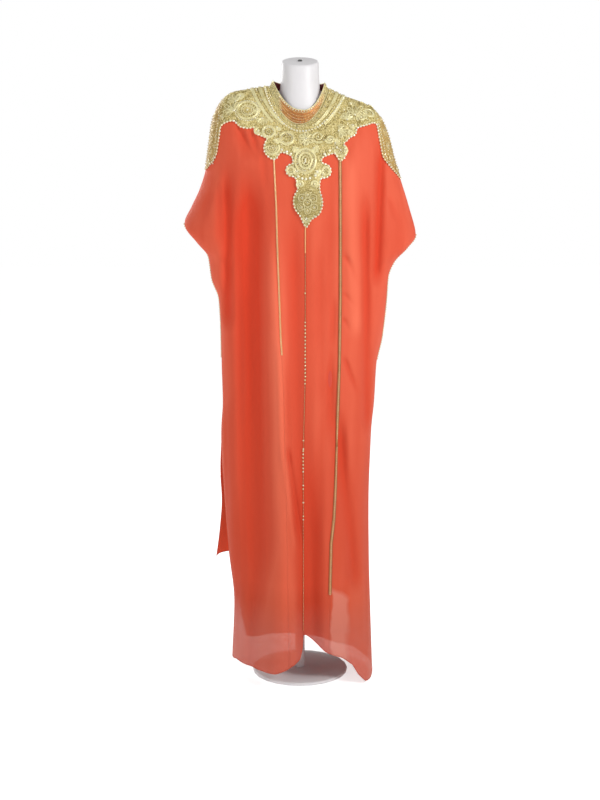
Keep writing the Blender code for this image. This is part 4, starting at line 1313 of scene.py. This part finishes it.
def tubes(name, paths, radius, material, *nodes, sides=1, slot="gold_work"):
    """Cords drawn as one curve of many splines, then made a mesh."""
    curve = bpy.data.curves.new(name, "CURVE")
    curve.dimensions = "3D"
    curve.bevel_depth = radius * MM
    curve.bevel_resolution = sides
    curve.use_fill_caps = True
    for points, closed in paths:
        spline = curve.splines.new("POLY")
        spline.points.add(len(points) - 1)
        flat = np.concatenate([points * MM, np.ones((len(points), 1))], axis=1)
        spline.points.foreach_set("co", flat.ravel())
        spline.use_cyclic_u = closed
    pick(new_object(name, curve))
    bpy.ops.object.convert(target="MESH")
    obj = bpy.context.view_layer.objects.active
    obj.data.shade_smooth()
    obj.select_set(False)
    return finish(obj, material, slot, *nodes)


def select_points(obj, wanted):
    """Selects a mesh's points by their place, ready in edit mode."""
    bpy.ops.object.mode_set(mode="OBJECT")
    for item in (*obj.data.polygons, *obj.data.edges):
        item.select = False
    for vertex in obj.data.vertices:
        vertex.select = bool(wanted(vertex.co))
    bpy.ops.object.mode_set(mode="EDIT")


def base_bead(kind):
    """One bead of half-width 1, modelled once: a cut seed, a drilled pearl or a cupped sequin."""
    if kind == "pearl":
        bpy.ops.mesh.primitive_uv_sphere_add(segments=8, ring_count=6, radius=1)
        bead = bpy.context.active_object
        select_points(bead, lambda at: abs(at.z) > 0.98)
        bpy.ops.transform.resize(value=(1, 1, 0.78))
    elif kind == "seed":
        bpy.ops.mesh.primitive_ico_sphere_add(subdivisions=1, radius=1)
        bead = bpy.context.active_object
        select_points(bead, lambda at: abs(at.z) > 0.9)
        bpy.ops.transform.resize(value=(1, 1, 0.66))
        select_points(bead, lambda at: abs(at.z) < 0.6)
        bpy.ops.transform.resize(value=(1, 1, 1.2))
    else:
        bpy.ops.mesh.primitive_cone_add(vertices=8, radius1=1, radius2=0.5, depth=0.4)
        bead = bpy.context.active_object
        select_points(bead, lambda at: at.z > 0.1)
        bpy.ops.mesh.inset(thickness=0.2)
        bpy.ops.transform.translate(value=(0, 0, -0.22))
    bpy.ops.object.mode_set(mode="OBJECT")
    bead.data.calc_loop_triangles()
    points = np.array([v.co for v in bead.data.vertices])
    triangles = np.array([t.vertices for t in bead.data.loop_triangles])
    bpy.data.objects.remove(bead, do_unlink=True)
    return points, triangles


def strew(name, kind, places, material, seed=1):
    """Copies of one bead joined in a mesh, each with its own place, size and tone."""
    rng = np.random.default_rng(seed)
    base, triangles = base_bead(kind)
    spots, ups, sizes, wanted = zip(*places)
    spots, ups, sizes = np.array(spots), np.array(ups), np.array(sizes)
    side = unit(np.cross(ups, rng.normal(size=ups.shape)))
    third = np.cross(ups, side)
    turned = (
        base[None, :, :1] * side[:, None] + base[None, :, 1:2] * third[:, None]
        + base[None, :, 2:] * ups[:, None]
    )
    points = spots[:, None] + turned * sizes[:, None, None]
    faces = triangles[None] + (np.arange(len(spots)) * len(base))[:, None, None]
    obj = shape(name, points.reshape(-1, 3), faces.reshape(-1, 3))
    drawn = rng.beta(2.4, 2.4, len(spots))
    tones = [t if tone is None else tone - 0.25 * t for tone, t in zip(wanted, drawn)]
    note(obj, "tone", np.repeat(tones, len(base)))
    return finish(obj, material, "gold_work")


tubes("couched_cords", cords["cord"], THICK["cord"], CORD_FINISH)
tubes("fine_couching", cords["fine"], THICK["fine"], CORD_FINISH, sides=0)
for kind in beads:
    strew(f"yoke_{kind}s", kind, beads[kind], BEAD_FINISH)

# The collar.

Collar = namedtuple("Collar", "lift front_lean back_lean front_rise back_rise right_dip")
COLLAR_BANDS = (Collar(1.4, 2, 1, 1.4, 1.4, 0), Collar(9, 6, 2, 18, 10, 8), Collar(15, 9, 3, 38, 24, 18))
COLLAR_THICK = 1.6


def collar_ring(level):
    """The collar's line at a level from 0 at the neck's edge to 1 at its top."""
    turn = np.linspace(-math.pi / 2, math.pi / 2, 61)
    band = Collar(*(np.interp(level, (0, 0.5, 1), column) for column in zip(*COLLAR_BANDS)))
    rings = []
    for face, angles, rise, lean in (
        (FRONT, turn[:-1], band.front_rise, band.front_lean),
        (BACK, turn[:0:-1], band.back_rise, band.back_lean),
    ):
        edge = cloth(face, angles, np.zeros_like(angles))[0]
        cosine = np.cos(angles)
        up = band.lift + (rise - band.lift) * cosine
        if face == FRONT:
            up = up - band.right_dip * np.maximum(0, np.sin(angles)) * cosine
        inward = band.front_lean + (lean - band.front_lean) * cosine
        rings.append(edge - unit(edge * [1, 1, 0]) * inward[:, None] + up[:, None] * np.array([0, 0, 1.0]))
    return np.concatenate(rings)


def outward_of(ring, lean=(0, 0, 0)):
    """Level directions away from the middle of a ring."""
    return unit((ring - ring.mean(0)) * [1, 1, 0] + lean)


def make_collar():
    grid = np.stack([collar_ring(1 - level) for level in np.linspace(0, 1, 17)])
    obj = sheet_of("collar_band", FRONT, grid, COLLAR_THICK, closed=True)
    mark_inside(obj)
    finish(obj, COLLAR_FINISH, "gold_work", "collar")
    piping, rows = [], []
    for level, out in ((1.0, 0.4), (0.06, 1.6)):
        ring = collar_ring(level)
        piping.append((ring + outward_of(ring) * out, True))
    tubes("collar_piping", piping, 1.3, CORD_FINISH)
    for level, step in ((0.22, 3.6), (0.42, 4.2), (0.62, 4.2), (0.84, 3.6)):
        ring = collar_ring(level)
        ring = spaced(np.vstack([ring, ring[:1]]), step)[:-1]
        rows += placed(ring, outward_of(ring), 1.25, lift=1.2)
    strew("collar_beads", "seed", rows, DARK_BEAD_FINISH, seed=5)
    ring = spaced(collar_ring(0.93)[15:46], 6.2)
    rows = placed(ring, outward_of(ring, (0, -20, 0)), 1.7, 1.0, 1.6)
    strew("collar_pearls", "pearl", rows, BEAD_FINISH, seed=6)


make_collar()

# Gold lines down the front.

SKIRT_Z = 640
LINE_STEP = 3.0
MIDDLE_BRIGHT_Z = 1105
LARGE_DOT, SMALL_DOT = 2.2, 0.9
MIDDLE_DOTS = ((782, 945), (556, 648), (516, 528), (474, 484), (436, 448), (1000, 1010))


def line_down(spots, z_top, z_low, lift, step):
    """Even points down a line of the front, lifted off the cloth."""
    z = np.linspace(z_top, z_low, int((z_top - z_low) / step))
    x = run_at(spots, z)
    upper = place(FRONT, x, np.maximum(z, SKIRT_Z))[1]
    v = np.where(z > SKIRT_Z, upper, place(FRONT, x, z, THIGH, LAST)[1])
    grid = np.stack([cloth(FRONT, angle_of(x + shift, v), v)[0] for shift in (-1.5, 0, 1.5)], axis=1)
    normals = normals_of(grid, FRONT)[:, 1]
    return grid[:, 1] + normals * lift, normals


def strand(points, normals, shift):
    """A line beside another, on the same cloth."""
    down = np.gradient(points, axis=0)
    return points + unit(np.cross(down, normals)) * shift


def make_braids():
    left, left_up = line_down(BRAID_LEFT, 1332, 856, 1.4, LINE_STEP)
    right, right_up = line_down(BRAID_RIGHT, 1330, 246, 1.5, LINE_STEP)
    for name, line, up, shift, radius, material, nodes, sides in (
        ("braid_left_cords", left, left_up, 1.0, 1.05, PALE_BRAID, ["braid_left"], 0),
        ("braid_right_cords", right, right_up, 1.2, 1.15, BRAID_FINISH, ["braid_right"], 1),
        ("braid_right_edges", right, right_up, 3.4, 0.9, DARK_BRAID, [], 0),
    ):
        pair = [(strand(line, up, aside), False) for aside in (-shift, shift)]
        tubes(name, pair, radius, material, *nodes, sides=sides)
    rows = placed(left[::2], left_up[::2], 1.1, 1.0, 1.3) + placed(right[::2], right_up[::2], 1.3, 0.9, 1.4)
    strew("braid_beads", "seed", rows, BEAD_FINISH, seed=7)


def make_middle_line():
    line, up = line_down(MIDDLE_LINE, 1172, 150, 1.1, LINE_STEP)
    bright = line[:, 2] > MIDDLE_BRIGHT_Z
    tubes("middle_thread", [(line, False)], 0.9, THREAD_FINISH, "middle_beading", sides=0)
    tubes("middle_cord", [(line[bright] + up[bright] * 0.8, False)], 1.5, PALE_BRAID, sides=0)
    dots, ups = line_down(MIDDLE_LINE, 1160, 168, 1.7, 8.8)
    large = [any(low < dot[2] < high for low, high in MIDDLE_DOTS) for dot in dots]
    rows = placed(dots, ups, np.where(large, LARGE_DOT, SMALL_DOT), 0.9)
    strew("middle_pearls", "pearl", rows, BEAD_FINISH, seed=8)


make_braids()
make_middle_line()

# Picot edging of the sleeve openings, and rolled hems.

TRIM_NODES = [f"cuff_trim_{face}_{side}" for side in ("left", "right") for face in ("front", "back")]
PICOT_STEP = 6.0


def sleeve_edge(face, side):
    v = np.linspace(TIP + 0.05, UNDERARM + 0.85, 150)
    return cloth(face, np.full_like(v, side * math.pi / 2), v)[0]


def make_picots():
    edges, dots = [], []
    for face in (FRONT, BACK):
        for side in (-1, 1):
            edge = sleeve_edge(face, side)
            edges.append((edge, False))
            points = spaced(edge, PICOT_STEP)
            out = unit(np.array([side * 0.8, -face * 0.2, -0.3]))
            dots += placed(points, np.tile(out, (len(points), 1)), 1.9, 0.62, 1.7)
    tubes("sleeve_edging", edges, 1.3, DARK_BRAID, *TRIM_NODES)
    strew("sleeve_picots", "pearl", dots, BEAD_FINISH, seed=11)


def make_hem_rolls():
    """The chiffon's hem and the edges of its slit are fine rolls."""
    angles, middle, level = front_angles(LEVELS[-1:])[0], SIDE_CELLS + CENTRE_CELLS, float(LAST)
    slit = np.linspace(THIGH + 1.2, LAST, 120)
    lines = [
        cloth(FRONT, angles[:middle + 1], level, side=-HALF_STEP),
        cloth(FRONT, angles[middle:], level, side=HALF_STEP),
        cloth(BACK, np.linspace(-math.pi / 2, math.pi / 2, 220), level),
        cloth(FRONT, -math.pi / 2, slit), cloth(BACK, -math.pi / 2, slit),
    ]
    rolls = [(points, False) for points, _ in lines]
    obj = tubes("rolled_hem", rolls, 0.9, CHIFFON_FINISH, slot="coral_cloth")
    note(obj, "deep", np.zeros(len(obj.data.vertices)))


make_picots()
make_hem_rolls()

# The form and its stand.

SMOOTHED = (
    ("form_torso", "form_shell", 2.0), ("stand_pole", "stand_tube", 0.5), ("stand_foot", "stand_plate", 1.0),
)


def smooth_copy(node, name, rounding):
    """A solid in its own place, with its facets joined, its rims rounded and its walls shaded round."""
    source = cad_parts[node]
    mesh = source.data.copy()
    mesh.transform(source.matrix_world)
    obj = new_object(name, mesh)
    pick(obj)
    bpy.ops.mesh.customdata_custom_splitnormals_clear()
    bpy.ops.object.mode_set(mode="EDIT")
    bpy.ops.mesh.select_all(action="SELECT")
    bpy.ops.mesh.remove_doubles(threshold=0.00002)
    bpy.ops.mesh.dissolve_limited(angle_limit=math.radians(0.4))
    bpy.ops.object.mode_set(mode="OBJECT")
    rims = obj.modifiers.new("rims", "BEVEL")
    rims.width = rounding * MM
    rims.segments = 3
    rims.limit_method = "ANGLE"
    rims.angle_limit = math.radians(42)
    apply_modifiers(obj)
    obj.select_set(True)
    bpy.ops.object.shade_smooth_by_angle(angle=math.radians(40))
    obj.select_set(False)
    return finish(obj, FORM_FINISH, "white_form", node)


def make_stand():
    for node, name, rounding in SMOOTHED:
        smooth_copy(node, name, rounding)
    for node, material in (("stand_flange", steel()), ("neck_plug", dark_rubber())):
        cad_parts[node].data.materials.clear()
        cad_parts[node].data.materials.append(material)


make_stand()

# Floor, light and camera.

SOFT_LIGHT = 0.42
CAMERA_ONLY_GLOW = 0.62
FLOOR_GLOW = (0.25, 0.25, 0.25, 1)
LIGHTS = (
    ("key_light", (2.6, -2.2, 2.7), (0, 0, 1.25), 0.9, 72),
    ("fill_light", (-2.5, -2.6, 2.0), (0, 0, 1.1), 1.8, 26),
    ("back_light", (-1.9, 2.4, 2.3), (0, 0, 1.0), 1.4, 42),
)


def aim_at(obj, place_of, target):
    obj.location = place_of
    obj.rotation_euler = (Vector(target) - Vector(place_of)).to_track_quat("-Z", "Y").to_euler()


def make_studio():
    """A white floor, one strong light from the right, and soft light all round."""
    bpy.ops.mesh.primitive_plane_add(size=30, location=(0, 4.0, 0))
    floor = bpy.context.active_object
    floor.name = "studio_floor"
    pale = Finish("studio_floor", Roughness=1.0, Specular_IOR_Level=0.0, Emission_Strength=CAMERA_ONLY_GLOW)
    grain = pale.noise(pale.place(), 3.0, 1.0)
    white = pale.ramp(grain, (0.4, (0.96, 0.96, 0.96, 1)), (0.6, (0.98, 0.98, 0.98, 1)))
    pale.feed("Base Color", white)
    seen = pale.node("ShaderNodeLightPath", output="Is Camera Ray")
    pale.feed("Emission Color", pale.mix(seen, FLOOR_GLOW, white))
    floor.data.materials.append(pale.material)
    for name, spot, target, size, power in LIGHTS:
        light = bpy.data.lights.new(name, "AREA")
        light.size = size
        light.energy = power
        aim_at(new_object(name, light), spot, target)
    world = bpy.data.worlds.new("studio")
    world.use_nodes = True
    nodes, links = world.node_tree.nodes, world.node_tree.links
    sky = nodes["Background"]
    sky.inputs["Color"].default_value = (1, 1, 1, 1)
    seen = nodes.new("ShaderNodeLightPath")
    strength = nodes.new("ShaderNodeMapRange")
    strength.inputs["To Min"].default_value = SOFT_LIGHT
    strength.inputs["To Max"].default_value = 1.0
    links.new(seen.outputs["Is Camera Ray"], strength.inputs["Value"])
    links.new(strength.outputs["Result"], sky.inputs["Strength"])
    bpy.context.scene.world = world
    bpy.context.scene.view_settings.view_transform = "Standard"


def make_camera():
    data = bpy.data.cameras.new("photo_camera")
    data.lens = CAMERA_LENS
    data.sensor_width = 36
    camera = new_object("photo_camera", data)
    aim_at(camera, CAMERA_PLACE, CAMERA_AIM)
    bpy.context.scene.camera = camera


make_studio()
make_camera()
